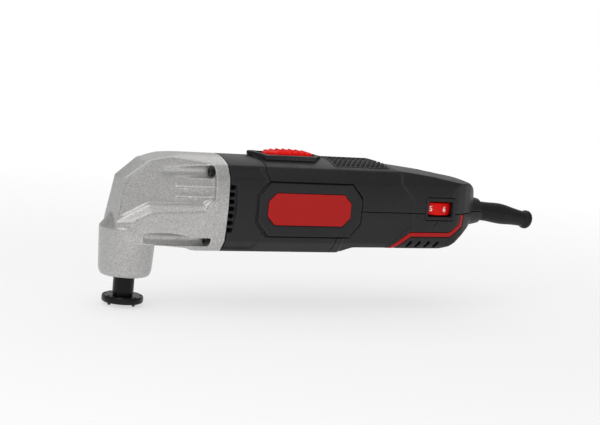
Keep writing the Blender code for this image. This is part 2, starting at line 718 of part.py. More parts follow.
def make_bezel():
    item = prism("bezel", bezel_hexagon(0.0), "Z", 85.0, 110.0)
    cut(item, crescent("bezel_arch", GAP, BEZEL_RISE, 14.0, 70.0, 132.0), "INTERSECT")
    top = [(70.0, 80.0), (132.0, 80.0), (132.0, 96.9), (127.4, 97.2), (112.0, 100.0), (70.0, 100.0)]
    cut(item, prism("bezel_top", top, "Y", -20.0, 20.0), "INTERSECT")
    cut(item, prism("bezel_opening", bezel_hexagon(BEZEL_WALL), "Z", 80.0, 120.0))
    part(item, "switch_bezel", (BLACK, 0.45))


def grip_form(name, lift, half_width, x_low, x_high, steps):
    """The roof raised by a lift, with the slope behind it raised as far."""
    item = crescent(name, -GRIP_ROOT, lift, half_width, x_low, x_high, steps)
    front, rear = x_low - 5.0, x_high + 5.0
    top = [(x, SLOPE_Z + lift + (SLOPE_X - x) * SLOPE_FALL) for x in (rear, front)]
    fall = prism(name + "_fall", [(front, 70.0), (rear, 70.0), *top], "Y", -25.0, 25.0)
    return solid(cut(item, fall, "INTERSECT"))


def grip_floor(lift):
    """What lies under the grip: the floor of its seat, or the same a little higher."""
    front, rear = GRIP_FRONT_X - 4.0, GRIP_REAR_X + 4.0
    return grip_form("grip_floor", lift - GRIP_SINK, GRIP_Y + 4.0, front, rear, 7)


def grip_seat():
    """The sunk seat in the roof that takes the base of the grip."""
    side = GRIP_Y + GAP
    low, high = (GRIP_FRONT_X - GAP, -side, 88.0), (GRIP_REAR_X + GAP, side, 110.0)
    return solid(cut(block("grip_seat", low, high), grip_floor(0.0)))


def make_grip():
    item = grip_form("grip", GRIP_RISE, GRIP_Y, GRIP_FRONT_X, GRIP_REAR_X, 6)
    pitch = (GRIP_REAR_X - GRIP_FRONT_X) / GRIP_RIBS
    for i in range(GRIP_RIBS):
        x = GRIP_FRONT_X + pitch * (i + 0.5)
        low, high = x - GRIP_RIB_X / 2, x + GRIP_RIB_X / 2
        cut(item, grip_form("rib", GRIP_RISE + GRIP_RIB, GRIP_Y - 0.6, low, high, 5), "UNION")
    cut(item, grip_floor(GAP))
    cut(item, block("grip_under", (120.0, -30.0, 60.0), (180.0, 30.0, 88.5)))
    part(item, "grip_pad", ((0.03, 0.03, 0.03), 0.8))


# Gear head


def panel_y(x, z):
    """Half width of the flat side panel, which flares to the rear and leans in to the top."""
    return PANEL_NOSE_Y + PANEL_FLARE * (x - PANEL_NOSE_X) + PANEL_LEAN * (PANEL_NOSE_Z - z)


def head_plan():
    """Straight flanks that leave the collar almost along it and flare to the motor housing."""
    inside = COLLAR_TOP_R - 0.35
    tangent = math.asin((SIDE_Y - inside) / HEAD_FLANGE_X)
    touch_x, touch_y = -inside * math.sin(tangent), inside * math.cos(tangent)
    near = [(NOSE_X, -12.2), (touch_x, -touch_y), (HEAD_FLANGE_X, -28.0), (SEAM_X, -28.0)]
    return near + [(x, -y) for x, y in near[::-1]]


def head_side():
    roof = arc((5.6, 90.8), (22.0, 94.9), (SEAM_X, 97.0), 7)
    return [
        (NOSE_X, 40.4), (17.0, 40.4), (31.0, 39.2), (38.0, 36.4), (SEAM_X, 33.0), *roof[::-1],
        (PANEL_NOSE_X, PANEL_NOSE_Z), (NOSE_X, 54.0),
    ]


def panel_cutter(side):
    """What is planed off the side of the head; its lower border slopes out at half a right angle."""
    floor = [(-24.0, 46.6), (-11.4, 53.8), (7.0, 64.8), (39.6, 66.5), (HEAD_FLANGE_X, 70.4)]
    floor += [(HEAD_FLANGE_X, 110.0), (-24.0, 110.0)]
    out = 34.0
    inner, outer = [], []
    for i, (x, z) in enumerate(floor):
        y = panel_y(x, z)
        inner.append((x, side * y, z))
        drop = out - y if i < 4 else 0.0
        outer.append((x, side * out, z - drop))
    return loft("panel", inner, outer)


def panel_pocket(side):
    """A shallow pocket in the side panel, inside a rim along its front and its lower border."""
    corner = arc((-9.7, 60.6), (-9.7, 57.2), (-7.2, 57.9), 4)
    outline = [
        *corner, (6.6, 66.1), (39.1, 67.8), (HEAD_FLANGE_X - 1.2, 71.3),
        (HEAD_FLANGE_X - 1.2, 100.0), (14.0, 100.0), (6.4, 89.8), (-6.9, 79.0),
    ]
    floor = [(x, side * (panel_y(x, z) - POCKET_DEPTH), z) for x, z in outline]
    mouth = [(x, side * 34.0, z) for x, z in outline]
    return loft("pocket", floor, mouth)


def head_room():
    """The bore for the spindle and its bearings, the fork room and the bearing plate's seat."""
    profile = [
        (0, 81.6), (4.2, 81.6), (4.2, 80.6), (6.3, 80.6), (6.3, 73.5), (8.5, 73.5), (8.5, 57.0),
        (9.4, 57.0), (9.4, 34.4), (13.3, 34.4), (13.3, 10.0), (0, 10.0),
    ]
    room = turned("spindle_bore", profile, "Z", (0, 0, 0), 20)
    plan = [(0.0, -8.3), (17.0, -14.2), (44.0, -14.2), (44.0, 14.2), (17.0, 14.2), (0.0, 8.3)]
    cut(room, prism("fork_room", plan, "Z", 57.6, 74.2), "UNION")
    cut(room, rod("plate_seat", 20.0, 43.0, 60.0, "X", (0, 0, MOTOR_Z), 24), "UNION")
    return solid(room)


def make_gear_housing():
    item = prism("head", section(), "X", -25.0, SEAM_X)
    cut(item, prism("head_plan", head_plan(), "Z", 30.0, 100.0), "INTERSECT")
    cut(item, prism("head_side", head_side(), "Y", -30.0, 30.0), "INTERSECT")
    collar = [
        (0, NOSE_Z), (NOSE_R, NOSE_Z), (COLLAR_TOP_R, COLLAR_TOP_Z), (COLLAR_R, COLLAR_Z + 3.6),
        (COLLAR_R - 0.5, COLLAR_Z + 1.6), (COLLAR_R - 1.8, COLLAR_Z), (0, COLLAR_Z),
    ]
    cut(item, turned("collar", collar, "Z", (0, 0, 0), 40), "UNION")
    for side in (-1, 1):
        cut(item, panel_cutter(side))
        cut(item, panel_pocket(side))
    for side in (-1, 1):
        for rib in range(2):
            low = RIB_Z + RIB_PITCH * rib
            cut(item, panel_rib(side, low, low + RIB_CLIMB), "UNION")
    for y, z in HEAD_SCREWS:
        cut(item, screw_channel(y, z))
        cut(item, rod("screw_hole", HEAD_SCREW_R + GAP * 2, 30.0, 60.0, "X", (0, y, z), 8))
    cut(item, head_room())
    part(item, "gear_housing", (SILVER, 0.45, 0.4))


def screw_channel(y, z):
    """The open groove in front of a screw; the upper ones run in along the panel and fade out."""
    front_x, rear_x = 4.0, HEAD_SCREW_X + 3.2
    front = (math.copysign(abs(y) - 4.9, y), z - 1.9) if z > MOTOR_Z else (y, z)
    ends = []
    for x, centre in ((front_x, front), (rear_x, (y, z))):
        ends.append([(x, u, v) for u, v in circle(CHANNEL_R, 15, centre)])
    return loft("channel", *ends)


def panel_rib(side, front_z, rear_z):
    """A rib that grows out of the panel towards the rear flange."""
    ends = []
    for x, z, rise in ((RIB_FRONT_X, front_z, 0.1), (HEAD_FLANGE_X + 0.5, rear_z, 1.2)):
        inner, outer = side * (panel_y(x, z) - 2.0), side * (panel_y(x, z) + rise)
        low, high = z - RIB_T / 2, z + RIB_T / 2
        crest = [(x, outer, low + 0.2), (x, outer, high - 0.2)]
        ends.append([(x, inner, low), *crest, (x, inner, high)])
    return loft("rib", *ends)


def make_screw(name, head_r, head, shank_r, shank, axis, place, flip=1):
    """A pan screw; the head starts at the place and the shank runs along the axis."""
    tip = head + shank
    profile = [(0, tip), (shank_r, tip), (shank_r, head), (head_r, head), (head_r, 0), (0, 0)]
    if flip < 0:
        profile = [(r, -h) for r, h in profile[::-1]]
    item = turned(name, profile, axis, place, 10)
    socket_low, socket_high = sorted((-1.0 * flip, 1.2 * flip))
    centre, offset = (place[1:], place[0]) if axis == "X" else (place[:2], place[2])
    socket = circle(1.6, 6, centre)
    cut(item, prism(name + "_socket", socket, axis, offset + socket_low, offset + socket_high))
    return part(item, name, (STEEL, 0.35, 0.9))


def make_screws():
    for i, (y, z) in enumerate(HEAD_SCREWS, 1):
        place = (HEAD_SCREW_X, y, z)
        make_screw(f"gear_case_screw_{i}", HEAD_SCREW_HEAD_R, 2.8, HEAD_SCREW_R, 22.0, "X", place)
    for i, (x, y) in enumerate(CASE_SCREWS, 1):
        make_screw(f"shell_screw_{i}", 2.9, 2.0, CASE_SCREW_R, 30.0, "Z", (x, y, 42.8))
    for i, y in enumerate((CLAMP_Y, -CLAMP_Y), 1):
        place = (CLAMP_X, y, CLAMP_Z + 6.0)
        make_screw(f"clamp_screw_{i}", 2.6, 2.0, CASE_SCREW_R, 12.0, "Z", place, -1)


# Spindle and drive


def make_spindle():
    profile = [
        (0, SPINDLE_TOP_Z), (SPINDLE_TIP_R, SPINDLE_TOP_Z), (SPINDLE_TIP_R, SPINDLE_HUB_Z),
        (SPINDLE_NECK_R, SPINDLE_HUB_Z), (SPINDLE_NECK_R, SPINDLE_SHOULDER_Z),
        (SPINDLE_R, SPINDLE_SHOULDER_Z), (SPINDLE_R, FLANGE_TOP_Z + GAP),
        (SPINDLE_STUB_R, FLANGE_TOP_Z + GAP), (SPINDLE_STUB_R, FLANGE_Z + 1.0),
        (CLAMP_HOLE_R, FLANGE_Z + 1.0), (CLAMP_HOLE_R, CLAMP_HOLE_TOP_Z), (0, CLAMP_HOLE_TOP_Z),
    ]
    item = turned("spindle", profile, "Z", (0, 0, 0), 20)
    part(item, "spindle", ((0.02, 0.02, 0.021), 0.35, 0.6), SPINDLE_AXIS)


def make_flange():
    profile = [
        (FLANGE_R - 0.5, FLANGE_TOP_Z), (FLANGE_R, FLANGE_TOP_Z - 0.5), (FLANGE_R, FLANGE_Z + 0.4),
        (FLANGE_R - 0.4, FLANGE_Z), (SPINDLE_STUB_R + GAP, FLANGE_Z),
        (SPINDLE_STUB_R + GAP, FLANGE_TOP_Z),
    ]
    item = turned("flange", profile, "Z", (0, 0, 0), 30, closed=True)
    root = FLANGE_Z + 1.0
    pin = [(0, root), (PIN_R, root), (PIN_R, 0.5), (PIN_R - 0.5, PIN_TIP_Z), (0, PIN_TIP_Z)]
    for i in range(4):
        t = math.radians(-67.5 + 90 * i)
        centre = (PIN_CIRCLE_R * math.cos(t), PIN_CIRCLE_R * math.sin(t), 0)
        cut(item, turned("pin", pin, "Z", centre, 8, phase=0.1), "UNION")
    for i in range(8):
        t = math.radians(-67.5 + 45 * i)
        centre = (11.2 * math.cos(t), 11.2 * math.sin(t), 0)
        cut(item, rod("dimple", 1.1, FLANGE_TOP_Z - 1.4, FLANGE_TOP_Z + 2.0, "Z", centre, 7))
    part(item, "tool_flange", ((0.02, 0.02, 0.021), 0.4, 0.6), SPINDLE_AXIS)


def make_fork():
    item = rod("fork", 7.5, 58.6, 73.0, "Z", (0, 0, 0), 16)
    near = [
        (1.0, -6.0), (13.0, -11.2), (20.0, -12.6), (37.0, -12.6), (37.0, -9.1), (20.0, -9.1),
        (14.0, -4.0),
    ]
    arms = near + [(x, -y) for x, y in near[::-1]]
    cut(item, prism("arms", arms, "Z", MOTOR_Z - 5.0, MOTOR_Z + 5.0), "UNION")
    cut(item, rod("fork_bore", SPINDLE_NECK_R + GAP, 50.0, 80.0, "Z", (0, 0, 0), 14))
    part(item, "drive_fork", (STEEL, 0.4, 0.9), SPINDLE_AXIS)


def make_spindle_supports():
    low, bore = LOWER_BEARING_Z, SPINDLE_NECK_R + GAP
    bearing = ring("bearing", LOWER_BEARING_R, bore, low, low + LOWER_BEARING_T, "Z", (0, 0, 0), 18)
    part(bearing, "lower_spindle_bearing", (STEEL, 0.3, 0.9))
    low, bore = UPPER_BUSH_Z, SPINDLE_TIP_R + GAP
    bush = ring("bush", UPPER_BUSH_R, bore, low, low + UPPER_BUSH_T, "Z", (0, 0, 0), 14)
    part(bush, "upper_spindle_bush", ((0.5, 0.36, 0.16), 0.4, 0.9))
    clip = ring("clip", 12.9, 9.6, 24.3, 25.6, "Z", (0, 0, 0), 16)
    part(clip, "bearing_clip", (STEEL, 0.3, 0.9))
    lip = [(12.9, 23.9), (12.9, 19.0), (8.4, 18.2), (7.1, 18.2), (7.1, 21.4), (8.6, 23.9)]
    part(turned("seal", lip, "Z", (0, 0, 0), 20, closed=True), "dust_seal", ((0.01, 0.01, 0.01), 0.8))


# Motor


def motor_ring(name, outer, inner, low, high, steps=32):
    return ring(name, outer, inner, low, high, "X", (0, 0, MOTOR_Z), steps)


def motor_prism(name, outline, low, high):
    return prism(name, [(y, MOTOR_Z + z) for y, z in outline], "X", low, high)


def make_armature():
    end = SHAFT_REAR_X
    profile = [
        (0, end), (SHAFT_R, end), (SHAFT_R, SHAFT_STEP_X), (SHAFT_NOSE_R, SHAFT_STEP_X),
        (SHAFT_NOSE_R, SHAFT_FRONT_X), (0, SHAFT_FRONT_X),
    ]
    shaft = turned("shaft", profile, "X", (0, 0, MOTOR_Z), 14)
    part(shaft, "armature_shaft", (STEEL, 0.25, 0.95), MOTOR_AXIS)

    bore = SHAFT_R + GAP
    slots = gear_outline(CORE_R, CORE_R - 4.5, CORE_SLOTS, 0.72)
    core = motor_prism("core", slots, STATOR_X + 1.0, STATOR_X + STATOR_LENGTH - 1.0)
    cut(core, rod("core_bore", bore, 60.0, 120.0, "X", (0, 0, MOTOR_Z), 14))
    part(core, "armature_core", ((0.25, 0.25, 0.26), 0.5, 0.8), MOTOR_AXIS)

    for name, low, high in (("winding_front", 67.8, 73.6), ("winding_rear", 108.4, 111.0)):
        mid = (low + high) / 2
        bulge = [(8.0, high), (11.0, high - 0.6), (12.4, mid), (11.0, low + 0.6), (8.0, low)]
        bulge += [(bore, low), (bore, high)]
        coil = turned(name, bulge, "X", (0, 0, MOTOR_Z), 14, closed=True)
        part(coil, name, (COPPER, 0.35, 0.8), MOTOR_AXIS)

    low, high = COMMUTATOR_X, COMMUTATOR_X + COMMUTATOR_LENGTH
    gaps = gear_outline(COMMUTATOR_R, COMMUTATOR_R - 0.6, COMMUTATOR_BARS, 0.86)
    bars = motor_prism("bars", gaps, low, high)
    cut(bars, rod("bars_bore", bore, 100.0, 140.0, "X", (0, 0, MOTOR_Z), 14))
    part(bars, "commutator", (COPPER, 0.3, 0.9), MOTOR_AXIS)


def make_fan():
    bore, back = SHAFT_R + GAP, FAN_X + 8.6
    hub, disc = 8.5, back - 1.6
    profile = [(FAN_R, back), (FAN_R, disc), (hub, disc), (hub, FAN_X), (bore, FAN_X), (bore, back)]
    fan = turned("fan", profile, "X", (0, 0, MOTOR_Z), 22, closed=True)
    for i in range(FAN_BLADES):
        t = math.tau * (i + SLOT_PHASE) / FAN_BLADES
        blade = []
        inner, outer = (hub - 0.5, 0.0), (FAN_R - 0.6, 0.35)
        for (radius, lead), edge in ((inner, -0.6), (outer, -0.6), (outer, 0.6), (inner, 0.6)):
            along = Vector((math.cos(t + lead), math.sin(t + lead)))
            side = Vector((-along.y, along.x))
            blade.append(tuple(along * radius + side * edge))
        cut(fan, motor_prism("blade", blade, FAN_X + 0.8, FAN_X + 7.4), "UNION")
    part(fan, "cooling_fan", ((0.04, 0.04, 0.042), 0.5), MOTOR_AXIS)


def make_eccentric():
    low = ECCENTRIC_X - ECCENTRIC_BEARING_T / 2
    high = low + ECCENTRIC_BEARING_T
    centre = (0, 0, MOTOR_Z + ECCENTRIC_THROW)
    cam = rod("cam", ECCENTRIC_R, low - 0.8, high + 0.4, "X", centre, 16)
    cut(cam, rod("cam_bore", SHAFT_NOSE_R + GAP, 20.0, 40.0, "X", (0, 0, MOTOR_Z), 10))
    part(cam, "eccentric", (STEEL, 0.3, 0.9), MOTOR_AXIS)
    race = ring("race", ECCENTRIC_BEARING_R, ECCENTRIC_R + GAP, low, high, "X", centre, 16)
    part(race, "eccentric_bearing", (STEEL, 0.25, 0.95), MOTOR_AXIS)


def make_stator():
    poles = circle(STATOR_R, 24)
    item = motor_prism("stator", poles, STATOR_X, STATOR_X + STATOR_LENGTH)
    bore = rod("stator_bore", STATOR_BORE_R, 60.0, 120.0, "X", (0, 0, MOTOR_Z), 20)
    cut(item, bore)
    for side in (-1, 1):
        low, high = sorted((side * 8.0, side * 18.2))
        cut(item, block("coil_slot", (60.0, low, MOTOR_Z - 9.0), (120.0, high, MOTOR_Z + 9.0)))
    part(item, "stator_core", ((0.25, 0.25, 0.26), 0.5, 0.8))


def make_motor_supports():
    plate = motor_ring("plate", 19.6, 5.2, 45.4, 53.6, 20)
    seat = FRONT_BEARING_X - 0.2
    cut(plate, rod("plate_bore", FRONT_BEARING_R + GAP, seat, 60.0, "X", (0, 0, MOTOR_Z), 17))
    for i in range(4):
        t = math.radians(45 + 90 * i)
        centre = (0, 15.6 * math.cos(t), MOTOR_Z + 15.6 * math.sin(t))
        cut(plate, rod("air_hole", 2.6, 40.0, 60.0, "X", centre, 7))
    part(plate, "bearing_plate", (SILVER, 0.5, 0.6))

    low, bore = FRONT_BEARING_X, SHAFT_R + GAP
    front = motor_ring("front", FRONT_BEARING_R, bore, low, low + FRONT_BEARING_T, 14)
    part(front, "front_motor_bearing", (STEEL, 0.3, 0.9))
    low = REAR_BEARING_X
    rear = motor_ring("rear_bearing", REAR_BEARING_R, bore, low, low + REAR_BEARING_T, 14)
    part(rear, "rear_motor_bearing", (STEEL, 0.3, 0.9))

    bell = motor_ring("bell", BORE_R - GAP, REAR_BEARING_R + GAP, 125.6, 134.4, 18)
    for i in range(4):
        t = math.radians(45 + 90 * i)
        centre = (0, 17.0 * math.cos(t), MOTOR_Z + 17.0 * math.sin(t))
        cut(bell, rod("bell_hole", 4.0, 120.0, 140.0, "X", centre, 7))
    part(bell, "rear_end_bell", ((0.05, 0.05, 0.05), 0.6))


def brush_block(name, mid, low, high, half_x, half_z):
    return block(name, (mid - half_x, low, MOTOR_Z - half_z), (mid + half_x, high, MOTOR_Z + half_z))


def make_brushes():
    mid = COMMUTATOR_X + COMMUTATOR_LENGTH / 2
    for word, side in (("left", -1), ("right", 1)):
        low, high = sorted((side * 11.0, side * 21.4))
        holder = brush_block("holder", mid, low, high, 5.2, 4.4)
        low, high = sorted((side * 5.0, side * 20.0))
        cut(holder, brush_block("holder_way", mid, low, high, 3.4, 2.8))
        part(holder, f"brush_holder_{word}", ((0.55, 0.42, 0.16), 0.4, 0.9))
        low, high = sorted((side * (COMMUTATOR_R + GAP), side * 18.0))
        brush = brush_block("brush", mid, low, high, 3.1, 2.5)
        part(brush, f"carbon_brush_{word}", ((0.02, 0.02, 0.02), 0.7))


# Switch, dial, electronics and cord entry


def make_switch():
    button = prism("button", button_outline(), "Y", -BUTTON_Y - 1.0, BUTTON_Y + 1.0)
    cut(button, prism("button_plan", button_plan(), "Z", 90.0, 105.0), "INTERSECT")
    front, rear = NECK_X, NECK_X + NECK_LENGTH
    stem = block("stem", (front, -NECK_Y, ROD_Z + ROD_T + GAP), (rear, NECK_Y, BUTTON_Z + 1.0))
    cut(button, stem, "UNION")
    part(button, "slide_button", (RED, 0.35), SWITCH_SLIDE)
    link = block("link", (ROD_FRONT_X, -ROD_Y, ROD_Z), (ROD_REAR_X, ROD_Y, ROD_Z + ROD_T))
    side = ROD_Y - 0.4
    finger = block("finger", (ROD_REAR_X - 3.0, -side, 80.0), (ROD_REAR_X, side, ROD_Z + 1.0))
    cut(link, finger, "UNION")
    part(link, "switch_rod", ((0.05, 0.05, 0.05), 0.5), SWITCH_SLIDE)
    body = block("switch", (160.4, -7.0, 69.0), (182.0, 7.0, 86.4))
    cut(body, block("plunger", (156.0, -2.0, 80.4), (161.0, 2.0, 84.4)), "UNION")
    part(body, "switch_module", ((0.03, 0.03, 0.032), 0.5))


def button_outline():
    """A side view that climbs to a peak over the thumb ridges and falls away to the rear."""
    points = [(BUTTON_REAR_X, BUTTON_Z), (BUTTON_FRONT_X, BUTTON_Z)]
    pitch = (BUTTON_REAR_X - BUTTON_FRONT_X) / BUTTON_RIDGES
    for i in range(BUTTON_RIDGES):
        start = BUTTON_FRONT_X + pitch * i
        points.append((start + 0.02, button_top(start) - BUTTON_RIDGE))
        points.append((start + pitch * 0.45, button_top(start + pitch * 0.45)))
        points.append((start + pitch * 0.8, button_top(start + pitch * 0.8)))
    points.append((BUTTON_REAR_X, button_top(BUTTON_REAR_X) - BUTTON_RIDGE))
    return points[::-1]


def button_plan():
    front, rear = BUTTON_FRONT_X + 0.6, BUTTON_REAR_X + 0.2
    side = [(front, BUTTON_NOSE_Y), (front + BUTTON_TAPER, BUTTON_Y)]
    side += [(rear - BUTTON_TAPER, BUTTON_Y), (rear, BUTTON_NOSE_Y)]
    return side + [(x, -y) for x, y in side[::-1]]


def button_top(x):
    end = BUTTON_FRONT_X if x < BUTTON_PEAK_X else BUTTON_REAR_X
    span = abs(end - BUTTON_PEAK_X)
    return BUTTON_PEAK_Z - BUTTON_FALL * ((x - BUTTON_PEAK_X) / span) ** 2


def make_dial():
    top, low, edge, hole = DIAL_Z + DIAL_T, DIAL_Z, DIAL_R - DIAL_EDGE, 2.4
    rim = [(edge, top), (DIAL_R, top - DIAL_EDGE), (DIAL_R, low + DIAL_EDGE), (edge, low)]
    rim += [(hole, low), (hole, top)]
    item = turned("dial", rim, "Z", (DIAL_X, DIAL_Y, 0), 32, closed=True)
    part(item, "speed_dial", (RED, 0.35), DIAL_AXIS)
    half = 5.5
    low, high = (DIAL_X - half, DIAL_Y - half, 57.0), (DIAL_X + half, DIAL_Y + half, DIAL_Z - 1.4)
    pot = block("pot", low, high)
    cut(pot, rod("pot_pin", 2.0, 60.0, top - 0.6, "Z", (DIAL_X, DIAL_Y, 0), 10), "UNION")
    part(pot, "speed_potentiometer", ((0.02, 0.05, 0.12), 0.5))


def make_electronics():
    board = block("board", (193.0, -19.0, 54.8), (217.0, 12.0, 56.6))
    part(board, "control_board", ((0.02, 0.11, 0.05), 0.5))


def make_cord_entry():
    boot = boot_tube("boot", (7.2, 6.6, 7.1, 5.7, 5.2, 5.2))
    flange = rod("boot_flange", 9.2, 232.6, 236.9, "X", (0, 0, BOOT_Z), 20)
    cut(boot, flange, "UNION")
    half = [(0, 2.6), (3.6, 2.6), (6.0, 1.6)]
    round_edge = half + [(6.4, 0)] + [(r, -h) for r, h in half[::-1]]
    bead = turned("bead", round_edge, "X", (0, 0, 0))
    tilt = Matrix.Rotation(BEAD_TILT, 4, "Y")
    bead.data.transform(Matrix.Translation(Vector((BEAD_X, 0.0, BEAD_Z)) * MM) @ tilt)
    cut(boot, bead, "UNION")
    cut(boot, boot_tube("bore", (BOOT_BORE_R,) * 6, 3.0))
    part(boot, "cord_boot", ((0.014, 0.014, 0.014), 0.6))
    bar = block("clamp", (CLAMP_X - 3.4, -13.0, CLAMP_Z), (CLAMP_X + 3.4, 13.0, CLAMP_Z + 3.4))
    for y in (CLAMP_Y, -CLAMP_Y):
        cut(bar, rod("clamp_hole", CASE_SCREW_R + GAP, 60.0, 80.0, "Z", (CLAMP_X, y, 0), 8))
    part(bar, "cord_clamp", ((0.05, 0.05, 0.05), 0.6))


def boot_tube(name, radii, longer=0.0):
    """A round tube along the drooping line of the cord boot."""
    curve = bpy.data.curves.new(name, "CURVE")
    curve.dimensions = "3D"
    curve.bevel_depth = MM
    curve.bevel_resolution = 4
    curve.use_fill_caps = True
    spline = curve.splines.new("POLY")
    spline.points.add(len(BOOT_PATH) - 1)
    for i, (point, (x, drop), radius) in enumerate(zip(spline.points, BOOT_PATH, radii)):
        reach = longer if i == len(BOOT_PATH) - 1 else -longer if i == 0 else 0.0
        point.co = ((x + reach) * MM, 0.0, (BOOT_Z + drop) * MM, 1.0)
        point.radius = radius
    tube = bpy.data.objects.new(name, curve)
    CUTTERS.objects.link(tube)
    return add_mesh_object(name, baked_mesh(tube, name, Matrix.Identity(4)))


clear_scene()
PARTS = new_collection("oscillating_multi_tool")
CUTTERS = new_collection("cutters")
ORIGIN = new_empty("tool_origin", ((COLLAR_TOP_R - REAR_X) / 2, 0.0, 0.0))
SPINDLE_AXIS = new_empty("spindle_axis", (0.0, 0.0, 0.0), ORIGIN)
MOTOR_AXIS = new_empty("motor_axis", (0.0, 0.0, MOTOR_Z), ORIGIN)
SWITCH_SLIDE = new_empty("switch_slide", (NECK_X, 0.0, BUTTON_Z), ORIGIN)
DIAL_AXIS = new_empty("dial_axis", (DIAL_X, DIAL_Y, DIAL_Z), ORIGIN)

make_gear_housing()
make_motor_housing()
REAR = rear_blank()
make_upper_shell(REAR)
make_lower_shell(REAR)
make_badges()
make_accents()
make_dial_frame()
make_bezel()
make_grip()
make_screws()
make_spindle()
make_flange()
make_fork()
make_spindle_supports()
make_armature()
make_fan()
make_eccentric()
make_stator()
make_motor_supports()
make_brushes()
make_switch()
make_dial()
make_electronics()
make_cord_entry()
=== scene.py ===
"""The looks of a corded oscillating multi tool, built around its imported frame.

Sizes are in metres unless a comment says mm. The visible shells are softened copies of the frame's
nodes. The grip, the cord boot and the dial's figures are pieces of their own. Every other node keeps
its shape and gets a finish.
"""

import json
import math

import bmesh
import bpy
import numpy as np
from mathutils import Matrix, Vector

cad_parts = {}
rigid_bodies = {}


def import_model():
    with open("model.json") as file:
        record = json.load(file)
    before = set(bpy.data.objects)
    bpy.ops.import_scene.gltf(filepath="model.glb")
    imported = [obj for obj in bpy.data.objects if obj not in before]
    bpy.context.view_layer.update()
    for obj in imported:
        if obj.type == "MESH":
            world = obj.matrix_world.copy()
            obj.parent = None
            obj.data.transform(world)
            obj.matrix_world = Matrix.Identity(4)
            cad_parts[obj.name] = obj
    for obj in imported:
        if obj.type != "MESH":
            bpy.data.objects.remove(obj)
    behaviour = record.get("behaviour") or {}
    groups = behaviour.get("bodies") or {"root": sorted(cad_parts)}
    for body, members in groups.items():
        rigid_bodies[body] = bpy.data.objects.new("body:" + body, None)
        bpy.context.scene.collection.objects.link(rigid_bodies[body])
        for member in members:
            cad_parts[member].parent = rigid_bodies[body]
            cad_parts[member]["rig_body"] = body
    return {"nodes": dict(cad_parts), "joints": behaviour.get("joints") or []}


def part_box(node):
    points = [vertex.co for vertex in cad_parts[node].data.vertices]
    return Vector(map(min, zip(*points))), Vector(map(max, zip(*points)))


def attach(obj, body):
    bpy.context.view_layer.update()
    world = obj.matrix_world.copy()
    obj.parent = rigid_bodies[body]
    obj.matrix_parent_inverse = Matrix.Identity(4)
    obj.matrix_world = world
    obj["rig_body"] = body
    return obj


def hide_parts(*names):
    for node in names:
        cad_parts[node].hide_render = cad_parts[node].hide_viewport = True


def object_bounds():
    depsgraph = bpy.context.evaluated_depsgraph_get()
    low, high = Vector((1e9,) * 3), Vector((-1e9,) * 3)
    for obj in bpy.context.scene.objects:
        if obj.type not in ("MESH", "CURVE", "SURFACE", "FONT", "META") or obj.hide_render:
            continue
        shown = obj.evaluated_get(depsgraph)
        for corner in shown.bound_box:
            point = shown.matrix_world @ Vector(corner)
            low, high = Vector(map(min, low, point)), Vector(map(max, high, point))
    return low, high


MM = 0.001
WELD = 1e-6

# Camera, measured from the spindle axis
CAMERA_PLACE = (-0.3047, -0.8627, 0.1949)
CAMERA_TURN, CAMERA_DIP, CAMERA_ROLL = 26.0, 8.0, 5.4
LENS, SENSOR = 90.0, 36.0

# Light
WORLD_LIGHT = 0.40
ROOM_AXIS = (0.5, 0.87, 0.0)
ROOM_FRONT, ROOM_BACK, ROOM_DIM, ROOM_WHITE = 0.4, 1.0, 0.24, 0.62
WHITE = (1.0, 1.0, 1.0, 1.0)
FLOOR_SIZE = 8.0
FLOOR_DROP = 0.0004
FLOOR_COLOUR, FLOOR_ROUGH = (0.9, 0.9, 0.9, 1.0), 0.9
FLOOR_GLOW, FLOOR_NEAR, FLOOR_FAR = 0.6, 0.22, 0.75

# Lamp, place, power in watts, width, height, and whether reflections show it
LAMP_AIM = (0.0, 0.0, 0.06)
LAMPS = (
    ("fill", (-0.35, -0.85, 0.06), 5.5, 0.9, 0.5, False),
    ("far_fill", (0.3, 0.9, 0.06), 4.0, 0.9, 0.5, False),
    ("key", (-0.75, -0.55, 0.95), 3.5, 0.7, 0.7, True),
    ("back", (0.25, 0.9, 1.0), 3.0, 1.4, 0.8, True),
    ("overhead", (0.0, 0.0, 1.4), 4.0, 1.4, 0.9, True),
)

# Softening: passes and steps of the facet blend, and the share of the pull that each step takes
BLEND_PASSES, BLEND_STEPS, BLEND_PULL = 6, 8, 0.7
ROUND_PULL = 0.5

# Cord boot, measured from the spindle axis: along the tool, height and radius in mm
BOOT_ROUTE = (
    (232.8, 64.7, 7.0), (241.0, 64.7, 6.9), (249.0, 64.65, 6.5), (257.0, 64.1, 6.5),
    (265.0, 63.3, 6.95), (271.0, 62.45, 6.8), (279.0, 61.2, 5.85), (286.0, 60.05, 5.3),
    (292.4, 58.95, 5.2),
)
BOOT_BORE, BOOT_FLANGE, BOOT_FLANGE_END = 3.75, 9.1, 236.8
BEAD_AT, BEAD_HALF, BEAD_RISE = 289.9, 2.1, 1.15
BOOT_LIP, BOOT_LIP_BACK = 0.3, 4
BOOT_STEPS, BOOT_SIDES = 120, 48

# Grip, measured in mm from the spindle axis: the roof it lies on, its slope, and its swept bars
ROOF_Z, CREASE_Y, CREASE_Z = 96.0, 20.5, 91.5
SLOPE_X, SLOPE_Z, SLOPE_FALL = 158.0, 96.5, 0.177
GRIP_BASE, GRIP_TOP, GRIP_BAR_TOP = -0.9, 0.1, 1.0
BAR_PITCH, BAR_WIDTH, BAR_SWEEP, BAR_EDGE = 3.54, 2.3, 0.68, 0.22
GRIP_MARGIN, GRIP_STEP, GRIP_KEEP = 1.1, 0.24, 0.3

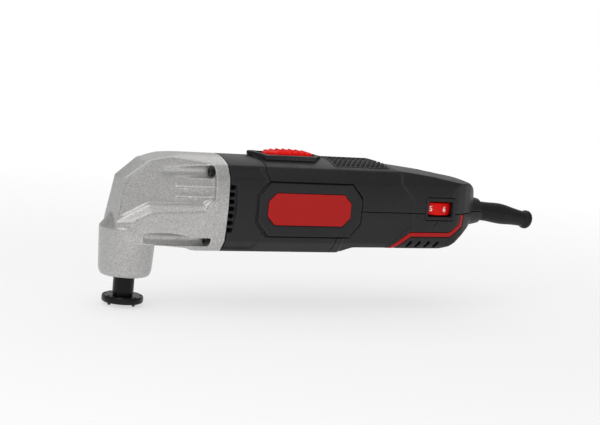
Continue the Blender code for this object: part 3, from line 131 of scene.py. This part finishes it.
# Saw teeth across the slide button, measured in mm from the spindle axis
TOOTH_X, TOOTH_PITCH, TOOTH_DEPTH, TOOTH_RISE = 102.5, 4.5, 1.1, 0.22
BUTTON_SIDE_Z, TOOTH_STEP, TOOTH_LIFT = 96.5, 0.3, 0.6

# Figures on the speed dial: places in degrees, sizes in mm
FIGURES = "123456"
FIGURE_START, FIGURE_PITCH = -197.5, 42.0
FIGURE_SIZE, FIGURE_LIFT, FIGURE_ROOT = 5.0, 0.08, 0.25
FIGURE_CURVE = 5

# Colours, linear
SILVER_DARK, SILVER_LIGHT = (0.33, 0.326, 0.318), (0.60, 0.594, 0.586)
# Painted highlight: the paler colour put on the cast head's edges
SILVER_EDGE_HIGHLIGHT = (0.80, 0.80, 0.79)
CHARCOAL, CHARCOAL_LIGHT = (0.0105, 0.0105, 0.0117), (0.019, 0.019, 0.0205)
# Painted highlight: the paler colour put on the plastic's edges
CHARCOAL_EDGE_HIGHLIGHT = (0.035, 0.035, 0.037)
RUBBER, RUBBER_LIGHT = (0.0105, 0.0105, 0.011), (0.020, 0.020, 0.021)
BADGE_RED, BADGE_RED_LIGHT = (0.33, 0.010, 0.009), (0.41, 0.014, 0.012)
GLOSS_RED, GLOSS_RED_LIGHT = (0.56, 0.003, 0.002), (0.66, 0.005, 0.003)
# Painted light: the slide button's red is a paler copy of the moulded red, standing in for the light
# on its top
PAINTED_LIT_RED, PAINTED_LIT_RED_LIGHT = (0.74, 0.008, 0.006), (0.86, 0.014, 0.010)
BLACK_STEEL, BLACK_STEEL_LIGHT = (0.004, 0.004, 0.0045), (0.010, 0.010, 0.011)
# Painted highlight: the paler colour put on the blackened steel's edges
BLACK_STEEL_EDGE_HIGHLIGHT = (0.10, 0.10, 0.10)
STEEL, STEEL_LIGHT = (0.42, 0.42, 0.43), (0.58, 0.58, 0.59)
COPPER, COPPER_LIGHT = (0.52, 0.19, 0.08), (0.66, 0.28, 0.13)
BRASS, BRASS_LIGHT = (0.46, 0.33, 0.11), (0.58, 0.43, 0.17)
GREEN, GREEN_LIGHT = (0.012, 0.085, 0.04), (0.02, 0.12, 0.06)
BLUE, BLUE_LIGHT = (0.012, 0.04, 0.12), (0.02, 0.06, 0.17)
FIGURE, FIGURE_LIGHT = (0.78, 0.78, 0.78), (0.86, 0.86, 0.86)

# Finish, material, dark and light colour, grain, roughness, metallic, bump, specular level, painted
# edge highlight
LOOKS = (
    ("cast", "cast_paint", SILVER_DARK, SILVER_LIGHT, 1500.0, 0.33, 0.55, 0.16, 0.5, SILVER_EDGE_HIGHLIGHT),
    (
        "plastic", "textured_plastic", CHARCOAL, CHARCOAL_LIGHT,
        2600.0, 0.42, 0.0, 0.25, 0.28, CHARCOAL_EDGE_HIGHLIGHT,
    ),
    ("rubber", "grip_rubber", RUBBER, RUBBER_LIGHT, 1900.0, 0.7, 0.0, 0.3, 0.2, None),
    ("sleeve", "sleeve_rubber", RUBBER, RUBBER_LIGHT, 1400.0, 0.45, 0.0, 0.12, 0.15, None),
    ("badge", "badge_film", BADGE_RED, BADGE_RED_LIGHT, 1300.0, 0.42, 0.0, 0.05, 0.15, None),
    ("gloss_red", "moulded_red", GLOSS_RED, GLOSS_RED_LIGHT, 900.0, 0.3, 0.0, 0.04, 0.15, None),
    # The slide button's paler red is painted light
    ("thumb_red", "slider_red_painted_lit", PAINTED_LIT_RED, PAINTED_LIT_RED_LIGHT, 900.0, 0.5, 0.0, 0.06, 0.08, None),
    (
        "black_steel", "blackened_steel", BLACK_STEEL, BLACK_STEEL_LIGHT,
        1700.0, 0.34, 0.3, 0.1, 0.25, BLACK_STEEL_EDGE_HIGHLIGHT,
    ),
    ("steel", "bright_steel", STEEL, STEEL_LIGHT, 1200.0, 0.32, 0.95, 0.08, 0.5, None),
    ("copper", "copper", COPPER, COPPER_LIGHT, 1000.0, 0.35, 0.9, 0.1, 0.5, None),
    ("brass", "brass", BRASS, BRASS_LIGHT, 1000.0, 0.35, 0.9, 0.08, 0.5, None),
    ("board", "circuit_board", GREEN, GREEN_LIGHT, 600.0, 0.45, 0.0, 0.05, 0.5, None),
    ("pot", "blue_plastic", BLUE, BLUE_LIGHT, 900.0, 0.4, 0.0, 0.05, 0.5, None),
    ("figure", "figure_print", FIGURE, FIGURE_LIGHT, 900.0, 0.5, 0.0, 0.02, 0.5, None),
)

# Grain: its detail, how much coarser the broad one is, and the bands that are read from both
GRAIN_DETAIL, GRAIN_DEPTH, BROAD_GRAIN = 3.0, 0.0002, 40.0
FINE_BAND, BROAD_BAND, BROAD_TINT = (0.34, 0.66), (0.3, 0.8), 0.35
GLOSS_BAND, GLOSS_SPREAD = (0.3, 0.7), 0.1
# The band of pointiness over which edges take their painted highlight
EDGE_HIGHLIGHT_BAND = (0.505, 0.62)

# Node, piece, finish, voxel in mm, blended facet in degrees, rounding steps, share of faces kept
SOFT = (
    ("gear_housing", "head_casting", "cast", 0.36, 8.0, 1, 0.14),
    ("motor_housing", "motor_shell", "plastic", 0.36, 6.0, 1, 0.13),
    ("handle_upper_shell", "upper_shell", "plastic", 0.36, 6.0, 1, 0.13),
    ("handle_lower_shell", "lower_shell", "plastic", 0.36, 6.0, 1, 0.13),
    ("switch_bezel", "bezel_frame", "plastic", 0.30, 8.0, 2, 0.25),
    ("slide_button", "thumb_slider", "thumb_red", 0.25, 8.0, 1, 0.25),
    ("dial_frame", "dial_bezel", "plastic", 0.30, 8.0, 3, 0.3),
    ("speed_dial", "dial_wheel", "gloss_red", 0.30, 16.0, 2, 0.25),
    ("badge_left", "badge_plate_left", "badge", 0.35, 8.0, 1, 0.2),
    ("badge_right", "badge_plate_right", "badge", 0.35, 8.0, 1, 0.2),
    ("accent_trim_left", "accent_band_left", "badge", 0.30, 8.0, 1, 0.25),
    ("accent_trim_right", "accent_band_right", "badge", 0.30, 8.0, 1, 0.25),
    ("spindle", "output_shaft", "black_steel", 0.35, 26.0, 3, 0.2),
    ("tool_flange", "drive_flange", "black_steel", 0.24, 18.0, 3, 0.25),
    ("dust_seal", "seal_ring", "rubber", 0.30, 26.0, 2, 0.2),
    ("gear_case_screw_1", "case_screw_1", "black_steel", 0.22, 20.0, 2, 0.25),
    ("gear_case_screw_2", "case_screw_2", "black_steel", 0.22, 20.0, 2, 0.25),
    ("gear_case_screw_3", "case_screw_3", "black_steel", 0.22, 20.0, 2, 0.25),
    ("gear_case_screw_4", "case_screw_4", "black_steel", 0.22, 20.0, 2, 0.25),
)

# Finish of the nodes that keep their own shape
PLAIN = {
    "steel": (
        "shell_screw_1", "shell_screw_2", "shell_screw_3", "shell_screw_4", "clamp_screw_1",
        "clamp_screw_2", "bearing_clip", "lower_spindle_bearing", "front_motor_bearing",
        "rear_motor_bearing", "drive_fork", "armature_shaft", "eccentric", "eccentric_bearing",
        "bearing_plate", "stator_core", "armature_core",
    ),
    "copper": ("winding_front", "winding_rear", "commutator"),
    "brass": ("upper_spindle_bush", "brush_holder_left", "brush_holder_right"),
    "plastic": (
        "rear_end_bell", "carbon_brush_left", "carbon_brush_right", "switch_module", "switch_rod",
        "cooling_fan", "cord_clamp",
    ),
    "board": ("control_board",),
    "pot": ("speed_potentiometer",),
}


# Materials


def new_material(name):
    item = bpy.data.materials.new(name)
    item.use_nodes = True
    return item, item.node_tree, item.node_tree.nodes["Principled BSDF"]


def add_node(tree, kind, **values):
    node = tree.nodes.new(kind)
    for key, value in values.items():
        node.inputs[key.replace("_", " ")].default_value = value
    return node


def noise(tree, scale):
    place = tree.nodes.get("Texture Coordinate") or tree.nodes.new("ShaderNodeTexCoord")
    node = add_node(tree, "ShaderNodeTexNoise", Scale=scale, Detail=GRAIN_DETAIL)
    tree.links.new(place.outputs["Object"], node.inputs["Vector"])
    return node.outputs["Fac"]


def spread(tree, source, low, high, new_low=0.0, new_high=1.0):
    node = add_node(
        tree, "ShaderNodeMapRange", From_Min=low, From_Max=high, To_Min=new_low, To_Max=new_high
    )
    tree.links.new(source, node.inputs["Value"])
    return node.outputs["Result"]


def mixed(tree, factor, first, second):
    """A colour between two, each a plain colour or another node's output."""
    node = tree.nodes.new("ShaderNodeMix")
    node.data_type = "RGBA"
    tree.links.new(factor, node.inputs["Factor"])
    for socket, colour in ((node.inputs[6], first), (node.inputs[7], second)):
        if isinstance(colour, tuple):
            socket.default_value = (*colour, 1.0)
        else:
            tree.links.new(colour, socket)
    return node.outputs[2]


def edge_highlight_share(tree, low, high):
    """How far a point stands out as an edge, from 0 to 1, for the painted highlight on edges."""
    shape = tree.nodes.new("ShaderNodeNewGeometry")
    return spread(tree, shape.outputs["Pointiness"], low, high)


def bumped(tree, shader, height, strength, depth):
    node = add_node(tree, "ShaderNodeBump", Strength=strength, Distance=depth)
    tree.links.new(height, node.inputs["Height"])
    tree.links.new(node.outputs["Normal"], shader.inputs["Normal"])


def grained(name, dark, light, grain, roughness, metallic, bump, specular, edge):
    """A finish with a fine grain in its colour, its gloss and its surface, and paler edges as a
    painted highlight.
    """
    item, tree, shader = new_material(name)
    fine = noise(tree, grain)
    broad = noise(tree, grain / BROAD_GRAIN)
    colour = mixed(tree, spread(tree, fine, *FINE_BAND), dark, light)
    colour = mixed(tree, spread(tree, broad, *BROAD_BAND, 0.0, BROAD_TINT), colour, dark)
    # Paler edges: a painted highlight
    if edge:
        colour = mixed(tree, edge_highlight_share(tree, *EDGE_HIGHLIGHT_BAND), colour, edge)
    tree.links.new(colour, shader.inputs["Base Color"])
    dull, bright = roughness * (1 + GLOSS_SPREAD), roughness * (1 - GLOSS_SPREAD)
    gloss = spread(tree, broad, *GLOSS_BAND, bright, dull)
    tree.links.new(gloss, shader.inputs["Roughness"])
    shader.inputs["Metallic"].default_value = metallic
    shader.inputs["Specular IOR Level"].default_value = specular
    bumped(tree, shader, fine, bump, GRAIN_DEPTH)
    return item


def make_finishes():
    return {finish: grained(*look) for finish, *look in LOOKS}


def dress(item, finish):
    item.data.materials.clear()
    item.data.materials.append(FINISHES[finish])
    return item


# Pieces


def new_object(name, mesh):
    item = bpy.data.objects.new(name, mesh)
    bpy.context.scene.collection.objects.link(item)
    return item


def bake(item):
    """Make an object's modifiers final."""
    graph = bpy.context.evaluated_depsgraph_get()
    mesh = bpy.data.meshes.new_from_object(item.evaluated_get(graph))
    item.modifiers.clear()
    item.data = mesh
    return mesh


def vertex_array(mesh):
    points = np.empty(len(mesh.vertices) * 3, np.float32)
    mesh.vertices.foreach_get("co", points)
    return points.reshape(-1, 3).astype(float)


def normal_array(mesh):
    normals = np.empty(len(mesh.vertices) * 3, np.float32)
    mesh.vertex_normals.foreach_get("vector", normals)
    return normals.reshape(-1, 3).astype(float)


def edge_array(mesh):
    pairs = np.empty(len(mesh.edges) * 2, np.int32)
    mesh.edges.foreach_get("vertices", pairs)
    pairs = pairs.reshape(-1, 2)
    return np.concatenate((pairs[:, 0], pairs[:, 1])), np.concatenate((pairs[:, 1], pairs[:, 0]))


def pulled(points, start, end, weight):
    """The mean pull of each point's neighbours, weighted edge by edge."""
    count = len(points)
    valence = np.maximum(np.bincount(start, minlength=count), 1)
    reach = (points[end] - points[start]) * weight[:, None]
    sums = [np.bincount(start, weights=reach[:, axis], minlength=count) for axis in range(3)]
    return np.stack(sums, axis=1) / valence[:, None]


def set_points(mesh, points):
    mesh.vertices.foreach_set("co", points.astype(np.float32).ravel())
    mesh.update()


def blend_facets(mesh, angle):
    """Smooth away steps smaller than an angle, and leave sharper edges where they are."""
    start, end = edge_array(mesh)
    limit = 1 - math.cos(math.radians(angle))
    for _ in range(BLEND_PASSES):
        points, normals = vertex_array(mesh), normal_array(mesh)
        turn = 1 - np.einsum("ij,ij->i", normals[start], normals[end])
        weight = np.exp(-turn / limit)
        for _ in range(BLEND_STEPS):
            pull = pulled(points, start, end, weight)
            points += BLEND_PULL * np.einsum("ij,ij->i", pull, normals)[:, None] * normals
        set_points(mesh, points)


def round_edges(mesh, steps):
    start, end = edge_array(mesh)
    points, weight = vertex_array(mesh), np.ones(len(start))
    for _ in range(steps):
        points += ROUND_PULL * pulled(points, start, end, weight)
    set_points(mesh, points)


def crest_line(tops):
    """An even line over the button's ridges, from the highest point at each step along it."""
    reach = round(TOOTH_PITCH / TOOTH_STEP)
    crests = np.array([tops[max(i - reach, 0):i + reach + 1].max() for i in range(len(tops))])
    even = np.convolve(np.pad(crests, reach, "edge"), np.ones(reach) / reach, "same")
    return np.minimum(even, crests.max())[reach:-reach]


def cut_teeth(mesh):
    """Trade the fine ridges on the button's top for the coarse saw teeth that a thumb pushes."""
    points = vertex_array(mesh) / MM
    x, z = points[:, 0] - SPINDLE_X / MM, points[:, 2]
    bins = ((x - x.min()) / TOOTH_STEP).astype(int)
    tops = np.full(bins.max() + 1, BUTTON_SIDE_Z)
    np.maximum.at(tops, bins, z)
    places = x.min() + TOOTH_STEP * (np.arange(len(tops)) + 0.5)
    top = np.interp(x, places, tops)
    crest = np.interp(x, places, crest_line(tops))
    phase = ((x - TOOTH_X) / TOOTH_PITCH) % 1.0
    drop = TOOTH_DEPTH * np.minimum(phase / (1 - TOOTH_RISE), (1 - phase) / TOOTH_RISE)
    old = np.maximum(top - BUTTON_SIDE_Z, TOOTH_STEP)
    new = np.maximum(np.minimum(crest, top + TOOTH_LIFT) - drop - BUTTON_SIDE_Z, TOOTH_STEP)
    high = z > BUTTON_SIDE_Z
    points[high, 2] = BUTTON_SIDE_Z + (z - BUTTON_SIDE_Z)[high] * (new / old)[high]
    set_points(mesh, points * MM)


def softened(node, name, finish, voxel, facet, rounds, keep):
    """A copy of a frame node with its facets blended and its edges rounded, as a mould leaves them."""
    item = new_object(name, NODES[node].data.copy())
    item.modifiers.new("weld", "WELD").merge_threshold = WELD
    grid = item.modifiers.new("grid", "REMESH")
    grid.mode = "VOXEL"
    grid.voxel_size = voxel * MM
    mesh = bake(item)
    if node == "slide_button":
        cut_teeth(mesh)
    blend_facets(mesh, facet)
    round_edges(mesh, rounds)
    item.modifiers.new("fewer", "DECIMATE").ratio = keep
    bake(item).shade_smooth()
    dress(item, finish)
    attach(item, NODES[node]["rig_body"])
    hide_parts(node)


def eased(share):
    share = np.clip(share, 0.0, 1.0)
    return share * share * (3 - 2 * share)


def roof_height(x, y, lift):
    """The height of the roof raised by a lift, with the slope behind it raised as far."""
    rise = ROOF_Z - CREASE_Z
    radius = (CREASE_Y**2 + rise**2) / (2 * rise)
    crown = ROOF_Z - radius + np.sqrt((radius + lift) ** 2 - y**2)
    return np.minimum(crown, SLOPE_Z + lift + (SLOPE_X - x) * SLOPE_FALL)


def bar_share(x, y, front, rear, half):
    """Where the grip's bars stand: swept back to the middle, and short of the pad's edges."""
    along = (x - front - BAR_SWEEP * (half - np.abs(y))) / BAR_PITCH % 1.0
    bar = eased((BAR_WIDTH / 2 - np.abs(along - 0.5) * BAR_PITCH) / BAR_EDGE / 2 + 0.5)
    inside = np.minimum(np.minimum(x - front, rear - x), half - np.abs(y)) - GRIP_MARGIN
    return bar * eased(inside / BAR_EDGE / 2 + 0.5)


def pad_mesh(points, bar, rows, columns):
    """A closed pad from a grid of top points and one of base points, with its faces on the bars."""
    count = rows * columns
    grid = np.arange(count).reshape(rows, columns)
    tops = np.stack((grid[:-1, :-1], grid[1:, :-1], grid[1:, 1:], grid[:-1, 1:]), -1).reshape(-1, 4)
    rim = np.concatenate((grid[:-1, 0], grid[-1, :-1], grid[:0:-1, -1], grid[0, :0:-1]))
    ahead = np.roll(rim, -1)
    sides = np.stack((ahead, rim, rim + count, ahead + count), 1)
    faces = np.concatenate((tops, tops[:, ::-1] + count, sides))
    mesh = bpy.data.meshes.new("grip_rubber")
    mesh.from_pydata(points.tolist(), [], faces.tolist())
    on_bar = np.zeros(len(faces), np.int32)
    on_bar[: len(tops)] = bar[tops].mean(1) > 0.5
    return mesh, on_bar


def make_grip():
    """The soft pad behind the switch: a thin base set into the roof, with swept rubber bars on it."""
    low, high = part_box("grip_pad")
    front, rear = (low.x - SPINDLE_X) / MM, (high.x - SPINDLE_X) / MM
    half = high.y / MM
    rows = np.linspace(front, rear, round((rear - front) / GRIP_STEP) + 1)
    columns = np.linspace(-half, half, round(2 * half / GRIP_STEP) + 1)
    x, y = (side.ravel() for side in np.meshgrid(rows, columns, indexing="ij"))
    bar = bar_share(x, y, front, rear, half)
    top = roof_height(x, y, GRIP_TOP + (GRIP_BAR_TOP - GRIP_TOP) * bar)
    base = roof_height(x, y, GRIP_BASE)
    points = np.concatenate((np.stack((x, y, top), 1), np.stack((x, y, base), 1))) * MM
    points[:, 0] += SPINDLE_X
    mesh, on_bar = pad_mesh(points, bar, len(rows), len(columns))
    item = new_object("grip_rubber", mesh)
    for finish in ("plastic", "rubber"):
        mesh.materials.append(FINISHES[finish])
    mesh.polygons.foreach_set("material_index", on_bar)
    item.modifiers.new("fewer", "DECIMATE").ratio = GRIP_KEEP
    bake(item).shade_smooth()
    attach(item, NODES["grip_pad"]["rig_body"])
    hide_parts("grip_pad")


def smooth_row(values, steps):
    """A smooth curve through evenly spaced values, read at many steps along it."""
    knots = np.asarray(values, float)
    slopes = np.gradient(knots, axis=0)
    place = np.linspace(0.0, len(knots) - 1.0, steps)
    left = np.minimum(place.astype(int), len(knots) - 2)
    t = (place - left)[:, None]
    start, end = knots[left], knots[left + 1]
    rise, fall = slopes[left], slopes[left + 1]
    blend = t * t * (3 - 2 * t)
    return start + (end - start) * blend + t * (1 - t) * ((1 - t) * rise - t * fall)


def boot_radius(x, radius):
    """The boot's outer radius, with its inner flange and the bead at its mouth."""
    bead = BEAD_RISE * math.exp(-(((x - BEAD_AT) / BEAD_HALF) ** 4))
    return max(BOOT_FLANGE if x < BOOT_FLANGE_END else 0.0, radius + bead)


def boot_ring(shape, row, ahead, radius):
    along = Vector((ahead[0], 0.0, ahead[1])).normalized()
    up = Vector((-along.z, 0.0, along.x))
    middle = Vector((row[0] * MM + SPINDLE_X, 0.0, row[1] * MM))
    ring = []
    for i in range(BOOT_SIDES):
        t = math.tau * i / BOOT_SIDES
        across = math.cos(t) * up + math.sin(t) * Vector((0.0, 1.0, 0.0))
        ring.append(shape.verts.new(middle + across * radius * MM))
    return ring


def make_boot():
    """A moulded sleeve swept along the drooping route, open where the cord would leave it."""
    rows = smooth_row(BOOT_ROUTE, BOOT_STEPS)
    ahead = np.gradient(rows[:, :2], axis=0)
    shape = bmesh.new()
    rings = []
    for row, way in zip(rows, ahead):
        rings.append(boot_ring(shape, row, way, boot_radius(row[0], row[2])))
    for radius, back in ((BOOT_BORE + BOOT_LIP, 1), (BOOT_BORE, BOOT_LIP_BACK)):
        rings.append(boot_ring(shape, rows[-back], ahead[-back], radius))
    rings.append(boot_ring(shape, rows[0], ahead[0], BOOT_BORE))
    for first, second in zip(rings, rings[1:] + rings[:1]):
        for i in range(BOOT_SIDES):
            j = (i + 1) % BOOT_SIDES
            shape.faces.new((first[i], first[j], second[j], second[i]))
    bmesh.ops.recalc_face_normals(shape, faces=shape.faces)
    mesh = bpy.data.meshes.new("boot_sleeve")
    shape.to_mesh(mesh)
    shape.free()
    mesh.shade_smooth()
    item = dress(new_object("boot_sleeve", mesh), "sleeve")
    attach(item, NODES["cord_boot"]["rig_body"])
    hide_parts("cord_boot")


def figure_mesh(figure):
    """A figure as a thin closed solid, lying flat."""
    letter = bpy.data.curves.new("figure", "FONT")
    letter.body = figure
    letter.size = FIGURE_SIZE * MM
    letter.align_x, letter.align_y = "CENTER", "CENTER"
    letter.extrude = (FIGURE_LIFT + FIGURE_ROOT) / 2 * MM
    letter.resolution_u = FIGURE_CURVE
    flat = new_object("figure", letter)
    graph = bpy.context.evaluated_depsgraph_get()
    mesh = bpy.data.meshes.new_from_object(flat.evaluated_get(graph))
    bpy.data.objects.remove(flat, do_unlink=True)
    return mesh


def make_dial_figures():
    """White figures set round the rim of the dial."""
    low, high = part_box("speed_dial")
    middle = (Vector(low) + Vector(high)) / 2
    radius = (high[0] - low[0]) / 2
    base = radius + (FIGURE_LIFT - FIGURE_ROOT) / 2 * MM
    shape = bmesh.new()
    for i, figure in enumerate(FIGURES):
        mesh = figure_mesh(figure)
        turn = math.radians(FIGURE_START + FIGURE_PITCH * i)
        for vertex in mesh.vertices:
            u, v, w = vertex.co
            t = turn + u / radius
            reach = base + w
            vertex.co = middle + Vector((reach * math.sin(t), -reach * math.cos(t), v))
        shape.from_mesh(mesh)
    bmesh.ops.remove_doubles(shape, verts=shape.verts, dist=WELD)
    mesh = bpy.data.meshes.new("dial_figures")
    shape.to_mesh(mesh)
    shape.free()
    item = dress(new_object("dial_figures", mesh), "figure")
    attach(item, NODES["speed_dial"]["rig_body"])


# Stage


def is_seen(tree):
    """1 for camera, glossy and transmission rays, which see the white surround."""
    path = tree.nodes.new("ShaderNodeLightPath")
    seen = path.outputs["Is Camera Ray"]
    for name in ("Is Glossy Ray", "Is Transmission Ray"):
        step = tree.nodes.new("ShaderNodeMath")
        step.operation = "MAXIMUM"
        tree.links.new(seen, step.inputs[0])
        tree.links.new(path.outputs[name], step.inputs[1])
        seen = step.outputs[0]
    return seen


def room_light(tree):
    """The studio as reflections see it: a white backdrop behind and a dimmer room in front."""
    place = tree.nodes.new("ShaderNodeTexCoord")
    depth = tree.nodes.new("ShaderNodeVectorMath")
    depth.operation = "DOT_PRODUCT"
    depth.inputs[1].default_value = ROOM_AXIS
    tree.links.new(place.outputs["Generated"], depth.inputs[0])
    room = spread(tree, depth.outputs["Value"], ROOM_FRONT, ROOM_BACK, ROOM_DIM, ROOM_WHITE)
    path = tree.nodes.new("ShaderNodeLightPath")
    brightest = tree.nodes.new("ShaderNodeMath")
    brightest.operation = "MAXIMUM"
    tree.links.new(path.outputs["Is Camera Ray"], brightest.inputs[0])
    tree.links.new(room, brightest.inputs[1])
    return brightest.outputs[0]


def make_world():
    world = bpy.data.worlds.new("studio")
    world.use_nodes = True
    tree = world.node_tree
    light = tree.nodes["Background"]
    light.inputs["Color"].default_value = WHITE
    light.inputs["Strength"].default_value = WORLD_LIGHT
    white = add_node(tree, "ShaderNodeBackground", Color=WHITE)
    tree.links.new(room_light(tree), white.inputs["Strength"])
    mix = tree.nodes.new("ShaderNodeMixShader")
    tree.links.new(is_seen(tree), mix.inputs["Fac"])
    tree.links.new(light.outputs[0], mix.inputs[1])
    tree.links.new(white.outputs[0], mix.inputs[2])
    tree.links.new(mix.outputs[0], tree.nodes["World Output"].inputs["Surface"])
    bpy.context.scene.world = world


def floor_glow(tree):
    """How white the floor looks: a little round the object, for its shadow, and fully far away."""
    place = tree.nodes.new("ShaderNodeTexCoord")
    reach = tree.nodes.new("ShaderNodeVectorMath")
    reach.operation = "LENGTH"
    tree.links.new(place.outputs["Object"], reach.inputs[0])
    share = spread(tree, reach.outputs["Value"], FLOOR_NEAR, FLOOR_FAR, FLOOR_GLOW, 1.0)
    both = tree.nodes.new("ShaderNodeMath")
    both.operation = "MULTIPLY"
    tree.links.new(is_seen(tree), both.inputs[0])
    tree.links.new(share, both.inputs[1])
    return both.outputs[0]


def make_floor(height):
    shape = bmesh.new()
    bmesh.ops.create_grid(shape, x_segments=1, y_segments=1, size=FLOOR_SIZE / 2)
    mesh = bpy.data.meshes.new("floor")
    shape.to_mesh(mesh)
    shape.free()
    floor = new_object("floor", mesh)
    floor.location.z = height
    item, tree, shader = new_material("pale_floor")
    shader.inputs["Base Color"].default_value = FLOOR_COLOUR
    shader.inputs["Roughness"].default_value = FLOOR_ROUGH
    shader.inputs["Specular IOR Level"].default_value = 0.0
    glow = add_node(tree, "ShaderNodeEmission", Color=WHITE, Strength=1.0)
    mix = tree.nodes.new("ShaderNodeMixShader")
    tree.links.new(floor_glow(tree), mix.inputs["Fac"])
    tree.links.new(shader.outputs[0], mix.inputs[1])
    tree.links.new(glow.outputs[0], mix.inputs[2])
    tree.links.new(mix.outputs[0], tree.nodes["Material Output"].inputs["Surface"])
    floor.data.materials.append(item)


def make_lamp(name, place, power, width, height, mirrored):
    """An area lamp turned to the tool, seen in reflections unless it is only a fill."""
    lamp = bpy.data.lights.new(name, "AREA")
    lamp.shape = "RECTANGLE"
    lamp.size, lamp.size_y, lamp.energy = width, height, power
    item = new_object(name, lamp)
    item.location = place
    item.rotation_euler = (Vector(LAMP_AIM) - Vector(place)).to_track_quat("-Z", "Y").to_euler()
    item.visible_glossy = mirrored


def make_camera():
    turn, dip, roll = (math.radians(v) for v in (CAMERA_TURN, CAMERA_DIP, CAMERA_ROLL))
    ahead = Vector((math.sin(turn) * math.cos(dip), math.cos(turn) * math.cos(dip), -math.sin(dip)))
    flat = Vector((math.cos(turn), -math.sin(turn), 0.0))
    steep = Vector((math.sin(turn) * math.sin(dip), math.cos(turn) * math.sin(dip), math.cos(dip)))
    right = math.cos(roll) * flat + math.sin(roll) * steep
    up = -math.sin(roll) * flat + math.cos(roll) * steep
    lens = bpy.data.cameras.new("camera")
    lens.lens, lens.sensor_width = LENS, SENSOR
    camera = new_object("camera", lens)
    place = Matrix((right, up, -ahead)).transposed().to_4x4()
    place.translation = Vector(CAMERA_PLACE) + Vector((SPINDLE_X, 0.0, 0.0))
    camera.matrix_world = place
    bpy.context.scene.camera = camera


def joint_point(name):
    joint = next(j for j in FRAME["joints"] if j["name"] == name)
    return Vector(joint["pos_m"])


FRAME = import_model()
NODES = FRAME["nodes"]
CAD_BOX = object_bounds()
bpy.context.scene.view_settings.view_transform = "Standard"
FINISHES = make_finishes()

SPINDLE_X = joint_point("spindle_oscillation").x
make_camera()
make_world()
make_floor(CAD_BOX[0].z - FLOOR_DROP)
for row in LAMPS:
    make_lamp(*row)

for row in SOFT:
    softened(*row)
make_grip()
make_boot()
make_dial_figures()
for finish, nodes in PLAIN.items():
    for node in nodes:
        dress(NODES[node], finish)
